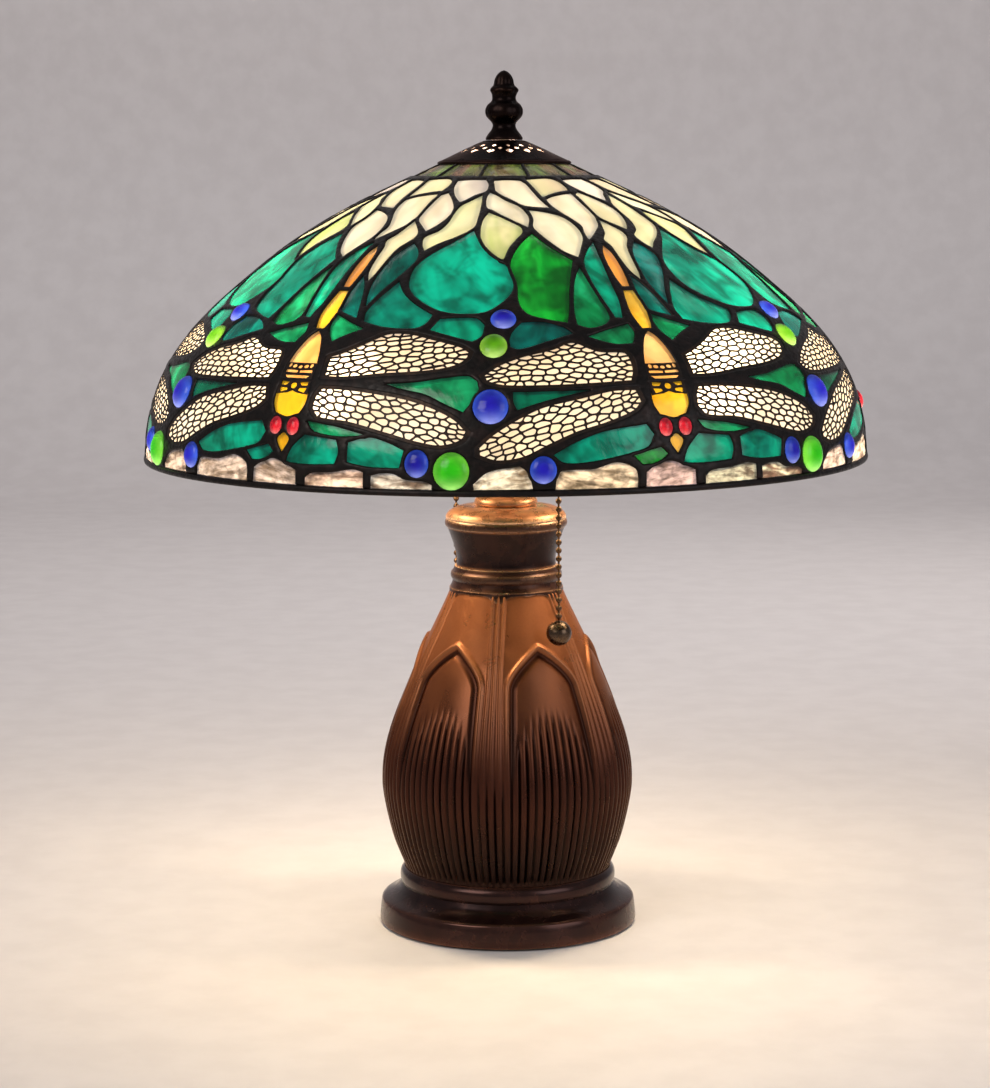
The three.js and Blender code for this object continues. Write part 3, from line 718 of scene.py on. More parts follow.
def lead_seeds(outlines, edges, half, first, last):
    """Points for the came's mesh: rows along the glass and an even fill between them."""
    rings = [(grow(o, d), d * 0.85) for d in (0.5, 1.1) for o in outlines]
    fill = [(x + (0.55 if k % 2 else 0), s)
            for k, s in enumerate(np.arange(first + 1, last, 1.4))
            for x in np.arange(-half, half, math.degrees(1.5 / dome_radius(s)))]
    rings.append((np.array(fill), 1.5))
    seeds, taken = [], set()
    for ring, least in rings:
        keep = (np.abs(ring[:, 0]) < half - 0.2) & (ring[:, 1] > first + 0.3) & (ring[:, 1] < last - 0.3)
        ring = ring[keep]
        if not len(ring):
            continue
        ring = ring[edge_gap(ring, edges) > least]
        for outline in outlines:
            if len(ring):
                ring = ring[~inside(outline, ring)]
        for x, s in ring:
            cell = (round(x * flat_scale(s)[0] / 0.75), round(s / 0.75))
            if cell not in taken:
                taken.add(cell)
                seeds.append((x, s))
    return seeds


def all_round(chart, tris, half):
    """Six copies of one repeat's triangles, joined where their straight sides meet."""
    sides = [np.flatnonzero(np.abs(chart[:, 0] - x) < 1e-3) for x in (-half, half)]
    left, right = (side[np.argsort(chart[side, 1])] for side in sides)
    count = len(chart)
    target = np.arange(count * REPEATS)
    for k in range(REPEATS):
        target[right + count * k] = left + count * ((k + 1) % REPEATS)
    charts = np.vstack([chart + [turn, 0] for turn in repeat_turns()])
    used, every = np.unique(target[np.vstack([tris + count * k for k in range(REPEATS)])],
                            return_inverse=True)
    return charts[used], every.reshape(-1, 3), used % count


def leadwork_piece(panes, material):
    """All the came of the shade as one web: whatever isn't glass, rounded between its edges."""
    half = REPEAT_DEG / 2
    first, last = LEAD_RANGE
    outlines = [pane.outline + [turn, 0] for pane in panes for turn in (-REPEAT_DEG, 0, REPEAT_DEG)]
    outlines = [o for o in outlines if o[:, 0].max() > -half - 4 and o[:, 0].min() < half + 4]
    edges = np.vstack(outlines + [(o + np.roll(o, -1, axis=0)) / 2 for o in outlines])
    seeds = lead_seeds(outlines, edges, half, first, last)
    chart, tris = web(outlines, seeds, half, [*np.arange(first, last - 0.6, 1.2), last])
    gap = np.minimum(edge_gap(chart, edges), np.minimum(chart[:, 1] - first, last - chart[:, 1]))
    charts, every, origin = all_round(chart, tris, half)
    heights = lead_height(gap)[origin]
    points, faces, _ = slab(charts, every, heights, -GLASS_THICKNESS - 0.7 * heights)
    made = new_piece("leadwork", points, faces, material, "shade", ["crown_lead_ring", "border_lead_ring"],
                     "leadwork")
    sharpen(made, 50)


# ---------------------------------------------------------------- the dragonflies' filigree

NET_TOP, NET_BOTTOM = 0.55, -0.05
NET_LINE = 0.95             # width of the net's lines
NET_ROOM = 3.0              # least distance between two openings' middles, across the wing
NET_STRETCH = 1.95          # how much longer an opening is along the wing
NET_LEAST_AREA = 1.2        # smaller openings are left filled
# Openings in the filigree over the body, right half: outlines, or (degrees, slope, half width, half height).
BODY_OPENINGS = [
    (1.15, 185.0, 1.5, 1.1), (2.15, 184.6, 1.1, 1.3), (0.0, 185.4, 1.4, 1.0),
    [(0.15, 187.4), (2.6, 187.0), (2.65, 188.7), (0.15, 188.9)],
    [(-2.5, 190.3), (2.5, 190.3), (1.5, 193.0), (-1.5, 193.0)],
    (0.0, 196.2, 1.9, 1.8),
    [(0.95, 194.2), (2.6, 193.7), (2.6, 196.0), (1.5, 196.2)],
    [(1.15, 197.6), (2.6, 197.3), (2.3, 200.2), (1.0, 198.9)],
]
BODY_FILIGREE = [(-2.9, 183), (2.9, 183), (3.0, 192), (2.95, 201), (0.9, 200.2), (0, 199), (-0.9, 200.2),
                 (-2.95, 201), (-3.0, 192)]


def clip_half(polygon, point, normal):
    """Keeps the side of a polygon that faces away from a normal."""
    side = (polygon - point) @ normal
    out = []
    for i in range(len(polygon)):
        j = (i + 1) % len(polygon)
        if side[i] <= 0:
            out.append(polygon[i])
        if (side[i] < 0) != (side[j] < 0) and side[i] != side[j]:
            out.append(polygon[i] + (polygon[j] - polygon[i]) * (side[i] / (side[i] - side[j])))
    return np.array(out)


def area_and_middle(polygon):
    x, y = polygon[:, 0], polygon[:, 1]
    xn, yn = np.roll(x, -1), np.roll(y, -1)
    cross = x * yn - xn * y
    area = cross.sum() / 2
    if abs(area) < 1e-6:
        return 0.0, polygon.mean(axis=0)
    return area, np.array([((x + xn) * cross).sum(), ((y + yn) * cross).sum()]) / (6 * area)


def spread_seeds(outline):
    """Random points inside a flat outline, none too near another, closer together towards its ends."""
    low, high = outline.min(axis=0), outline.max(axis=0)
    seeds = np.zeros((0, 2))
    for candidate in NOISE.uniform(low, high, (6000, 2)):
        room = NET_ROOM - 0.5 * abs(candidate[0]) / max(high[0], 1)
        if len(seeds) and np.linalg.norm(seeds - candidate, axis=1).min() < room:
            continue
        if inside(outline, candidate[None])[0]:
            seeds = np.vstack([seeds, candidate])
    return seeds


def cell_round(seed, seeds, outline):
    """The part of an outline that is nearer to one seed than to its neighbours."""
    cell = outline
    for other in seeds[np.argsort(np.linalg.norm(seeds - seed, axis=1))[1:15]]:
        cell = clip_half(cell, (seed + other) / 2, other - seed)
        if len(cell) < 3:
            return None
    return cell


def net_cells(outline):
    """Irregular rounded openings that fill a wing, longer along the wing than across it."""
    scale = flat_scale(outline[:, 1].mean())
    flat = outline * scale
    middle = flat.mean(axis=0)
    axes = np.linalg.eigh(np.cov((flat - middle).T))[1]
    along = axes[:, 1] * math.copysign(1, axes[0, 1])
    across = np.array([-along[1], along[0]])
    local = np.stack([(flat - middle) @ along / NET_STRETCH, (flat - middle) @ across], 1)
    seeds = spread_seeds(local)
    inner = inset(local, NET_LINE * 0.9)
    for _ in range(2):
        cells = [cell_round(seed, seeds, inner) for seed in seeds]
        seeds = np.array([area_and_middle(c)[1] if c is not None else s for c, s in zip(cells, seeds)])
    out = []
    for cell in (cell_round(seed, seeds, inner) for seed in seeds):
        if cell is None:
            continue
        world = middle + np.outer(cell[:, 0] * NET_STRETCH, along) + np.outer(cell[:, 1], across)
        world = without_short_sides(world, 0.5)
        if len(world) < 3:
            continue
        before = area_and_middle(world)[0]
        world = inset(world, NET_LINE / 2)
        if NET_LEAST_AREA < area_and_middle(world)[0] * math.copysign(1, before) < abs(before):
            out.append(rounded(world, 1.6, 3) / scale)
    return out


def without_short_sides(polygon, least):
    """Drops corners closer than a distance to the one before."""
    kept = [polygon[0]]
    for p in polygon[1:]:
        if np.linalg.norm(p - kept[-1]) > least:
            kept.append(p)
    if len(kept) > 3 and np.linalg.norm(kept[0] - kept[-1]) <= least:
        kept.pop()
    return np.array(kept)


def inset(polygon, amount):
    """Moves each side of a polygon inward."""
    area = area_and_middle(polygon)[0]
    sign = math.copysign(1, area)
    ahead = np.roll(polygon, -1, axis=0) - polygon
    ahead /= np.maximum(np.linalg.norm(ahead, axis=1), 1e-9)[:, None]
    inward = np.stack([-ahead[:, 1], ahead[:, 0]], 1) * sign
    before = np.roll(inward, 1, axis=0)
    miter = inward + before
    share = np.maximum((miter * inward).sum(axis=1), 0.35)
    return polygon + miter / share[:, None] * amount


def body_plate():
    """The filigree over a dragonfly's body, with its openings mirrored from the right half."""
    scale = flat_scale(190)
    holes = []
    for opening in BODY_OPENINGS:
        if isinstance(opening, tuple):
            turn, *rest = opening
            holes += [oval(side * turn, *rest, count=12) for side in ((1, -1) if turn else (1,))]
            continue
        shape = rounded(np.array(opening) * scale, 0.5, 2) / scale
        holes.append(shape)
        if min(x for x, _ in opening) > 0:
            holes.append(shape[::-1] * [-1, 1])
    return np.array(BODY_FILIGREE, float), holes


def filigree_pieces(panes, material):
    """A pierced metal net over each dragonfly's wings and body."""
    plates = [(grow(pane.outline, 0.5), net_cells(pane.outline)) for pane in panes if pane.family == "wing"]
    built = []
    for outline, holes in [*plates, body_plate()]:
        chart, tris, _ = triangulate([outline, *holes], [])
        middle = chart[tris].mean(axis=1)
        keep = inside(outline, middle)
        for hole in holes:
            keep &= ~inside(hole, middle)
        # the left wings are drawn in the next repeat, so they are turned back to their own body
        back = -REPEAT_DEG if chart[:, 0].mean() > REPEAT_DEG / 2 else 0
        built.append((chart + [back, 0], tris[keep]))
    for number, turn in enumerate(repeat_turns(), 1):
        gathered = Gathered()
        for chart, tris in built:
            points, faces, sides = slab(chart, tris, NET_TOP, NET_BOTTOM, turn)
            gathered.add(points, faces, sides * 0)
        gathered.piece(f"filigree_{number}", material, "shade", [f"dragonfly_filigree_{number}"], "leadwork")


# ---------------------------------------------------------------- materials

def new_material(name):
    made = bpy.data.materials.new(name)
    made.use_nodes = True
    made.node_tree.nodes.clear()
    return made, made.node_tree


def plug(tree, socket, value):
    """Links a socket, or sets it to a number or a colour."""
    if isinstance(value, bpy.types.NodeSocket):
        tree.links.new(value, socket)
    elif isinstance(value, tuple) and len(value) == 3 and socket.type == "RGBA":
        socket.default_value = (*value, 1.0)
    else:
        socket.default_value = value


def add(tree, kind, settings=None, **inputs):
    """A shader node. Inputs are named with _ for a space, and take a number, a colour or a socket."""
    made = tree.nodes.new(kind)
    for key, value in (settings or {}).items():
        setattr(made, key, value)
    for key, value in inputs.items():
        plug(tree, made.inputs[key.replace("_", " ")], value)
    return made


def add_numbered(tree, kind, settings, inputs):
    """A shader node whose inputs go by number, because their names repeat."""
    made = add(tree, kind, settings)
    for index, value in inputs.items():
        plug(tree, made.inputs[index], value)
    return made


def mix(tree, share, a, b, blend="MIX"):
    """Mixes two colours."""
    settings = {"data_type": "RGBA", "blend_type": blend}
    return add_numbered(tree, "ShaderNodeMix", settings, {0: share, 6: a, 7: b}).outputs[2]


def mix_shaders(tree, share, a, b):
    return add_numbered(tree, "ShaderNodeMixShader", None, {0: share, 1: a, 2: b}).outputs[0]


def calculate(tree, operation, *values):
    return add_numbered(tree, "ShaderNodeMath", {"operation": operation}, dict(enumerate(values))).outputs[0]


def ramp(tree, value, low, high, first=0.0, last=1.0):
    """Maps a value between two limits, smoothly."""
    return add(tree, "ShaderNodeMapRange", {"interpolation_type": "SMOOTHSTEP"}, Value=value, From_Min=low,
               From_Max=high, To_Min=first, To_Max=last).outputs[0]


def point_value(tree, name, output="Color"):
    """What point_layer() kept with the mesh's points."""
    return add(tree, "ShaderNodeAttribute", {"attribute_name": name}).outputs[output]


def places(tree):
    """Object coordinates."""
    return add(tree, "ShaderNodeTexCoord").outputs["Object"]


def noise(tree, vector, scale, detail=3.0, rough=0.55, distort=0.0):
    return add(tree, "ShaderNodeTexNoise", Vector=vector, Scale=scale, Detail=detail, Roughness=rough,
               Distortion=distort).outputs["Fac"]


def bump(tree, height, distance, strength=1.0):
    return add(tree, "ShaderNodeBump", Height=height, Distance=distance, Strength=strength).outputs[0]


def close(made, surface):
    tree = made.node_tree
    tree.links.new(surface, add(tree, "ShaderNodeOutputMaterial").inputs["Surface"])
    return made


def principled(made, **inputs):
    """Finishes a material with one Principled surface."""
    return close(made, add(made.node_tree, "ShaderNodeBsdfPrincipled", **inputs).outputs[0])


FACE_DEPTH = 0.30           # how pale the glass looks by reflected light alone


def glass_front(name, rough, glow, through, streak_size, streak_share, waves=0.0, mottle=(0.7, 1.0),
                see=0.0):
    """Coloured sheet glass seen from outside: a glossy face that passes the light from behind it, and a
    painted glow in the glass's own colour that stands in for more of the bulbs' light.
    """
    made, tree = new_material(name)
    tint, streak = point_value(tree, "tint"), point_value(tree, "streak")
    grain = point_value(tree, "grain", "Vector")
    long = add(tree, "ShaderNodeMapping", Vector=grain, Scale=(0.35, 1.0, 1.0)).outputs[0]
    broad = noise(tree, long, 1.0 / streak_size, 3.0, 0.55, 0.5)
    fine = noise(tree, long, 3.4 / streak_size, 4.0, 0.6, 0.3)
    colour = mix(tree, ramp(tree, broad, 0.38, 0.66, 0.0, streak_share), tint, streak)
    colour = mix(tree, ramp(tree, fine, 0.40, 0.75, 0.0, 0.3), colour, mix(tree, 0.5, colour, streak))
    shade = ramp(tree, noise(tree, grain, 1.3 / streak_size, 2.0, 0.5, 0.4), 0.30, 0.66, *mottle)
    colour = mix(tree, 1.0, colour, shade, "MULTIPLY")
    normal = bump(tree, calculate(tree, "ADD", broad, fine), 0.0006 + waves, 0.5)
    seen = mix(tree, 1.0, colour, (FACE_DEPTH,) * 3, "MULTIPLY")
    face = add(tree, "ShaderNodeBsdfPrincipled", Base_Color=seen, Roughness=rough, Normal=normal,
               Specular_IOR_Level=0.4).outputs[0]
    back = add(tree, "ShaderNodeBsdfTranslucent", Color=colour).outputs[0]
    if see:
        bulb_shape = add(tree, "ShaderNodeBsdfRefraction", Color=colour, Roughness=0.45, IOR=1.2).outputs[0]
        back = mix_shaders(tree, see, back, bulb_shape)
    # painted light: the glass glows in its own colour though it is no lamp, standing in for more of the
    # bulbs' light through it
    own = add(tree, "ShaderNodeEmission", Color=colour, Strength=glow).outputs[0]
    lit = mix_shaders(tree, through, face, back)
    return close(made, add_numbered(tree, "ShaderNodeAddShader", None, {0: lit, 1: own}).outputs[0])


def glass_back():
    """The inner face of the glass, which lets the lamps' light in to the outer one."""
    made, tree = new_material("glass_inner_face")
    clear = add(tree, "ShaderNodeBsdfTransparent", Color=(1.0, 1.0, 1.0)).outputs[0]
    dirt = noise(tree, places(tree), 60.0)
    shine = add(tree, "ShaderNodeBsdfGlossy", Roughness=ramp(tree, dirt, 0.3, 0.7, 0.08, 0.2)).outputs[0]
    return close(made, mix_shaders(tree, 0.06, clear, shine))


def bronze(name, dark, light, rough, edge, metal=0.75, gleam=(1.0, 1.0, 1.0)):
    """Patinated cast metal: mottled, brighter on its edges, partly wear from handling and partly a painted
    highlight.
    """
    made, tree = new_material(name)
    where = places(tree)
    cloud = noise(tree, where, 90.0, 5.0, 0.6, 0.4)
    fine = noise(tree, where, 810.0, 3.0, 0.6)
    colour = mix(tree, ramp(tree, cloud, 0.35, 0.7), dark, light)
    # convex edges take the edge colour: partly rubbed wear, partly a painted highlight
    wear_and_highlight = ramp(tree, add(tree, "ShaderNodeNewGeometry").outputs["Pointiness"], 0.50, 0.62)
    return principled(made, Base_Color=mix(tree, wear_and_highlight, colour, edge), Metallic=metal,
                      Normal=bump(tree, fine, 0.0001, 0.12), Roughness=ramp(tree, cloud, 0.3, 0.7, *rough),
                      Specular_Tint=gleam)


def urn_bronze():
    """The urn's patina: copper brown above, mahogany to near black below, dark in the hollows."""
    made, tree = new_material("urn_bronze")
    up = add(tree, "ShaderNodeSeparateXYZ", Vector=places(tree)).outputs["Z"]
    relief = point_value(tree, "relief", "Fac")
    cloud = noise(tree, places(tree), 45.0, 4.0, 0.6, 0.5)
    fine = noise(tree, places(tree), 700.0, 3.0, 0.6)
    tone = calculate(tree, "MULTIPLY_ADD", cloud, 0.03, up)
    ground = mix(tree, ramp(tree, tone, 0.060, 0.120), (0.013, 0.004, 0.003), (0.056, 0.015, 0.008))
    ground = mix(tree, ramp(tree, tone, 0.108, 0.200), ground, (0.24, 0.078, 0.028))
    hollow = mix(tree, 1.0, ground, (0.22, 0.16, 0.16), "MULTIPLY")
    ridge = mix(tree, 0.4, ground, (0.36, 0.15, 0.07))
    colour = mix(tree, ramp(tree, relief, -0.9, 0.0), hollow, ground)
    # the raised relief is lighter, more so towards the top: partly rubbed wear, partly a painted highlight
    # where the lamp's light falls
    wear_and_highlight = calculate(tree, "MULTIPLY", ramp(tree, relief, 0.25, 1.3), ramp(tree, up, 0.09, 0.19, 0.08, 1.0))
    colour = mix(tree, wear_and_highlight, colour, ridge)
    colour = mix(tree, ramp(tree, fine, 0.35, 0.8, 0.0, 0.10), colour, hollow)
    return principled(made, Base_Color=colour, Metallic=0.7, Normal=bump(tree, fine, 0.0001, 0.12),
                      Roughness=ramp(tree, cloud, 0.3, 0.7, 0.26, 0.38), Specular_Tint=(1.0, 0.72, 0.56))


def came_metal(name, dark, light, rough):
    """Solder with a dark patina: soft lumps along the lines."""
    made, tree = new_material(name)
    cloud = noise(tree, places(tree), 160.0, 4.0, 0.6, 0.5)
    lumps = noise(tree, places(tree), 420.0, 3.0, 0.55)
    return principled(made, Base_Color=mix(tree, ramp(tree, cloud, 0.4, 0.72), dark, light), Metallic=0.65,
                      Roughness=ramp(tree, lumps, 0.3, 0.7, *rough), Normal=bump(tree, lumps, 0.0005, 0.5))


def plain_metal(name, colour, rough):
    """Turned or plated metal with fine marks."""
    made, tree = new_material(name)
    marks = noise(tree, places(tree), 500.0, 4.0, 0.65)
    dim = tuple(c * 0.6 for c in colour)
    tone = mix(tree, ramp(tree, noise(tree, places(tree), 60.0), 0.35, 0.7), colour, dim)
    return principled(made, Base_Color=tone, Metallic=1.0, Normal=bump(tree, marks, 0.0001, 0.3),
                      Roughness=ramp(tree, marks, 0.3, 0.7, rough, rough + 0.18))


def dull(name, colour, other, size, rough, sheen=0.0, depth=0.0003):
    """Felt, card or moulded plastic: a grain of its own and no metal."""
    made, tree = new_material(name)
    grain = noise(tree, places(tree), size, 5.0, 0.7)
    return principled(made, Base_Color=mix(tree, ramp(tree, grain, 0.3, 0.7), colour, other),
                      Roughness=rough, Sheen_Weight=sheen, Normal=bump(tree, grain, depth, 0.6))


def lit(name, base, rough, clouds, dim, bright, strength):
    """A cloudy surface that shines: a lit bulb, or a painted glow on the cap's pale underside that stands in
    for the bulbs' light there.
    """
    made, tree = new_material(name)
    low, high, size = clouds
    colour = mix(tree, ramp(tree, noise(tree, places(tree), size), low, high), dim, bright)
    return principled(made, Base_Color=base, Roughness=rough, Emission_Color=colour,
                      Emission_Strength=strength)


# ---------------------------------------------------------------- rim, cap and finial

def rim_piece(material):
    """The U-shaped came round the rim, rolled over the glass's edge."""
    outer = [(3.4, -0.1), (3.0, 0.9), (1.6, 1.25), (0.4, 1.0), (0, 0.2)]
    inner = [(0, 0.1), (0.6, -0.9), (2.0, -1.1), (3.2, -0.6), (3.4, 0.2)]
    section = outer + [(back, lift - GLASS_THICKNESS) for back, lift in inner]
    profile = [dome(90.0, DOME_SLOPE - back, lift)[[0, 2]] for back, lift in section]
    turned("rim_channel", profile, material, "shade", ["rim_band"], facets=240, slot="leadwork", sharp=60)


VENTS_PER_ROW = 14
VENT_FRONT_DEG = 7
# Rows of vents: radius, width, length, and the share of a step that the row is turned by.
VENT_ROWS = [(23.8, 5.6, 5.4, 0.0), (20.7, 3.6, 3.5, 0.5), (17.4, 3.5, 3.4, 0.0)]
CAP_LINE = smooth_profile([(8.0, 452.3), (11.0, 452.2), (18, 449.4), (24, 446.7), (30, 443.8), (35, 441.5),
                           (36.6, 440.8)], 0.8)
CAP_THICKNESS = 0.5


def cap_surface(turn_deg, radius, lift):
    turn, height = np.radians(turn_deg), np.interp(radius, *CAP_LINE.T) + lift
    return np.stack([radius * np.sin(turn), -radius * np.cos(turn), height], 1)


def vents(step):
    """Diamonds in (degrees, radius) that open one sector of the cap, and those beside it."""
    for radius, width, length, stagger in VENT_ROWS:
        for turn in (np.arange(-1, 2) + stagger) * step:
            corners = []
            for x, y in ((0, 1), (1, 0), (0, -1), (-1, 0)):
                r = radius + y * length / 2
                corners.append(np.array([turn + math.degrees(x * width / 2 / r), r]))
            yield np.array([a + (b - a) * t for a, b in zip(corners, corners[1:] + corners[:1])
                            for t in (0.0, 0.33, 0.67)])


def heat_cap_piece(material, painted_underside_glow):
    """The vented cap: a shallow cone pierced by rows of diamonds, with a rolled edge."""
    step = 360 / VENTS_PER_ROW
    holes = list(vents(step))
    radii = np.linspace(CAP_LINE[0, 0], CAP_LINE[-1, 0], 22)
    seeds = np.array([(x, r) for k, r in enumerate(radii[1:-1])
                      for x in np.arange(-step / 2 + 0.4, step / 2 - 0.3, 2.6) + (0.3 if k % 2 else 0)])
    for hole in holes:
        scale = np.stack([np.radians(seeds[:, 1]), np.ones(len(seeds))], 1)
        gap = np.linalg.norm((hole[None] - seeds[:, None]) * scale[:, None], axis=2).min(axis=1)
        seeds = seeds[(gap > 0.5) & ~inside(hole, seeds)]
    chart, tris = web(holes, seeds, step / 2, radii)
    gathered = Gathered()
    for k in range(VENTS_PER_ROW):
        points, faces, sides = slab(chart, tris, 0.0, -CAP_THICKNESS, VENT_FRONT_DEG + k * step, cap_surface,
                                    step / 2)
        # the underside takes the second material, a painted glow standing in for the bulbs' light under the
        # cap
        gathered.add(points, faces, sides == 1)
    plate = gathered.piece("heat_cap_plate", [material, painted_underside_glow], "shade", ["heat_cap"], "dark_bronze")
    clean(plate, 2e-5)
    sharpen(plate)
    rolled = [(36.5, 440.95), (37.3, 440.6), (37.9, 440.1), (38.1, 439.6), (37.8, 439.2), (37.3, 439.2),
              (36.9, 439.4), (36.4, 439.6)]
    turned("heat_cap_edge", rolled, material, "shade", slot="dark_bronze", sharp=60)


def finial_piece(material):
    """The finial: a flared foot, a gadrooned ball, a collar and a bud with overlapping petals."""
    profile = smooth_profile([
        (10.3, 452.5), (10.5, 453.4), (9.6, 455.0), (8.2, 457.0), (6.9, 459.0), (6.5, 460.9), (7.2, 462.5),
        (8.7, 464.1), (10.2, 466.1), (10.5, 469.3), (9.4, 472.1), (7.1, 474.4), (6.7, 476.0), (7.2, 478.4),
        (8.1, 480.4), (7.5, 481.6), (5.9, 483.2), (5.1, 486.3), (4.0, 488.7), (2.0, 490.7), (0.02, 491.5),
    ], 0.6)
    facets, count = 96, len(profile)
    turn = circle(facets)
    rings = []
    for radius, z in profile:
        ball = 0.45 * bell((z - 469) / 4.6) * (np.abs(np.cos(turn * 4)) - 0.6)
        cup = 0.9 * bell((z - 479.6) / 3.2) * (np.abs(np.cos(turn * 2.5)) ** 0.6 - 0.7)
        bud = 0.45 * bell((z - 486) / 5.5) * (np.abs(np.cos(turn * 4 + 0.4)) - 0.6) * min(1.0, radius / 5)
        foot = 0.25 * bell((z - 455.2) / 2.4) * (np.abs(np.cos(turn * 5)) - 0.5)
        reach = np.maximum(radius + ball + cup + bud + foot, 0.02)
        rings.append(np.stack([reach * np.cos(turn), reach * np.sin(turn), np.full(facets, z)], 1))
    points = np.vstack([*rings, [(0, 0, 452.5), (0, 0, 491.6)]])
    bottom = count * facets
    faces = [*ring_faces(count, facets, closed=False), *fan(0, facets, bottom)[:, [1, 0, 2]],
             *fan(bottom - facets, facets, bottom + 1)]
    made = new_piece("finial_casting", points, faces, material, "finial", ["finial"], "dark_bronze")
    sharpen(made, 55)


def bell(x):
    """1 at nought, falling smoothly to 0 at 1 and beyond."""
    x = np.clip(np.abs(x), 0, 1)
    return (1 - x ** 2) ** 2


# ---------------------------------------------------------------- base

def foot_piece(material):
    """The turned foot: an upright wall with a crisp edge, a cove and a ring under the urn."""
    wall = [(70.9, 1.3), (74.6, 1.3), (74.9, 2.4), (74.6, 6), (74.2, 10), (73.7, 13.6), (73.3, 14.4)]
    cove = smooth_profile([(71.8, 15.3), (69.6, 16.4), (67.5, 17.6), (64.5, 20), (62.8, 22.2)], 0.9)
    ring = smooth_profile([(61.9, 23.4), (62.5, 24.9), (62.8, 28), (62.3, 30.5), (61.3, 32), (60.3, 33)], 0.8)
    under = [(PIPE_BORE, 33.0), (PIPE_BORE, 29.2), (55, 29.2), (58, 21.5), (65, 12.6), (70, 3)]
    turned("foot_casting", [*wall, *cove, *ring, *under], material, "base", ["foot_plinth"], 160,
           "dark_bronze")


URN_PROFILE = [
    (59.9, 33.3), (60.4, 35.5), (63, 42), (66.2, 50.5), (69.7, 64), (72.2, 78), (72.6, 86), (72, 96),
    (70.2, 106), (67.4, 116), (63.2, 128), (59.6, 137), (55, 148), (50.4, 158.5), (45.2, 168.7),
    (40.2, 179), (35.9, 188), (32.2, 196.3),
]
ARCH_HALF_DEG, ARCH_APEX_Z, ARCH_SPRING_Z = 22.5, 168.0, 145.0
FLUTE_DEG = 3.75


def smoothstep(low, high, x):
    t = np.clip((x - low) / (high - low), 0, 1)
    return t * t * (3 - 2 * t)


def arch_half_width(z):
    """Half width in degrees of the pointed arch at a height."""
    t = np.clip((ARCH_APEX_Z - z) / (ARCH_APEX_Z - ARCH_SPRING_Z), 0, 1)
    return ARCH_HALF_DEG * np.sin(t * math.pi / 2) ** 0.8


def from_rib(turn):
    """Degrees from the nearest of the urn's rib groups, -30 to 30."""
    return (turn - URN_RIB_DEG + 30) % REPEAT_DEG - 30


def gap_to_arch(arch_turn, z, scale):
    """Millimetres to the line of the nearest pointed arch and its two upright sides."""
    line_z = np.concatenate([np.arange(30, ARCH_SPRING_Z, 3.0), np.linspace(ARCH_SPRING_Z, ARCH_APEX_Z, 40)])
    gap = np.full(z.shape, 1e9)
    for side in (-1, 1):
        for one_turn, one_z in zip(arch_half_width(line_z), line_z):
            gap = np.minimum(gap, np.hypot((arch_turn - side * one_turn) * scale, (z - one_z) * 1.08))
    straight = np.where(z < ARCH_SPRING_Z, np.abs(np.abs(arch_turn) - ARCH_HALF_DEG) * scale, gap)
    return np.minimum(gap, straight)


def urn_relief(turn, z, radius):
    """Height of the ribs, arches and flutes over the plain urn."""
    arch_turn = (turn - URN_RIB_DEG) % REPEAT_DEG - 30
    across = np.radians(from_rib(turn)) * radius
    spacing = 3.2 + (np.radians(FLUTE_DEG) * radius - 3.2) * smoothstep(175, 115, z)
    ribs = np.max([0.95 * bell((across - k * spacing) / 1.5) for k in (-1, 0, 1)], axis=0)
    gap = gap_to_arch(arch_turn, z, np.radians(1) * radius)
    within = (np.abs(arch_turn) < arch_half_width(z)) & (z < ARCH_APEX_Z)
    recess = np.where(within, -1.2 * smoothstep(1.2, 2.4, gap) * (1 - 0.75 * smoothstep(3.6, 6.5, gap)), 0)
    height = ribs + recess * (0.4 + 0.6 * smoothstep(36, 60, z))
    phase = (arch_turn / FLUTE_DEG + 0.5) % 1 - 0.5
    starts = 139 - 22 * (np.abs(arch_turn) / ARCH_HALF_DEG) ** 2
    begun = smoothstep(0, 1, (starts - z) / 24)
    flutes = 0.35 * bell(phase / 0.5) - 1.25 * bell((np.abs(phase) - 0.5) / 0.26)
    height = height + np.where(within, smoothstep(2.6, 4.0, gap), 0) * begun * flutes
    outside = np.where(within, 0, begun * smoothstep(1.6, 2.6, gap)) * (np.abs(across) > spacing + 2.2)
    height = height - 0.8 * outside * bell((np.abs(across) - spacing - 3.2) / 1.2)
    height = height + 1.7 * bell(gap / 2.4) * (0.4 + 0.6 * smoothstep(80, 140, z))
    low_down = 0.85 * smoothstep(112, 80, z)
    return height * (1 - low_down) + low_down * flutes


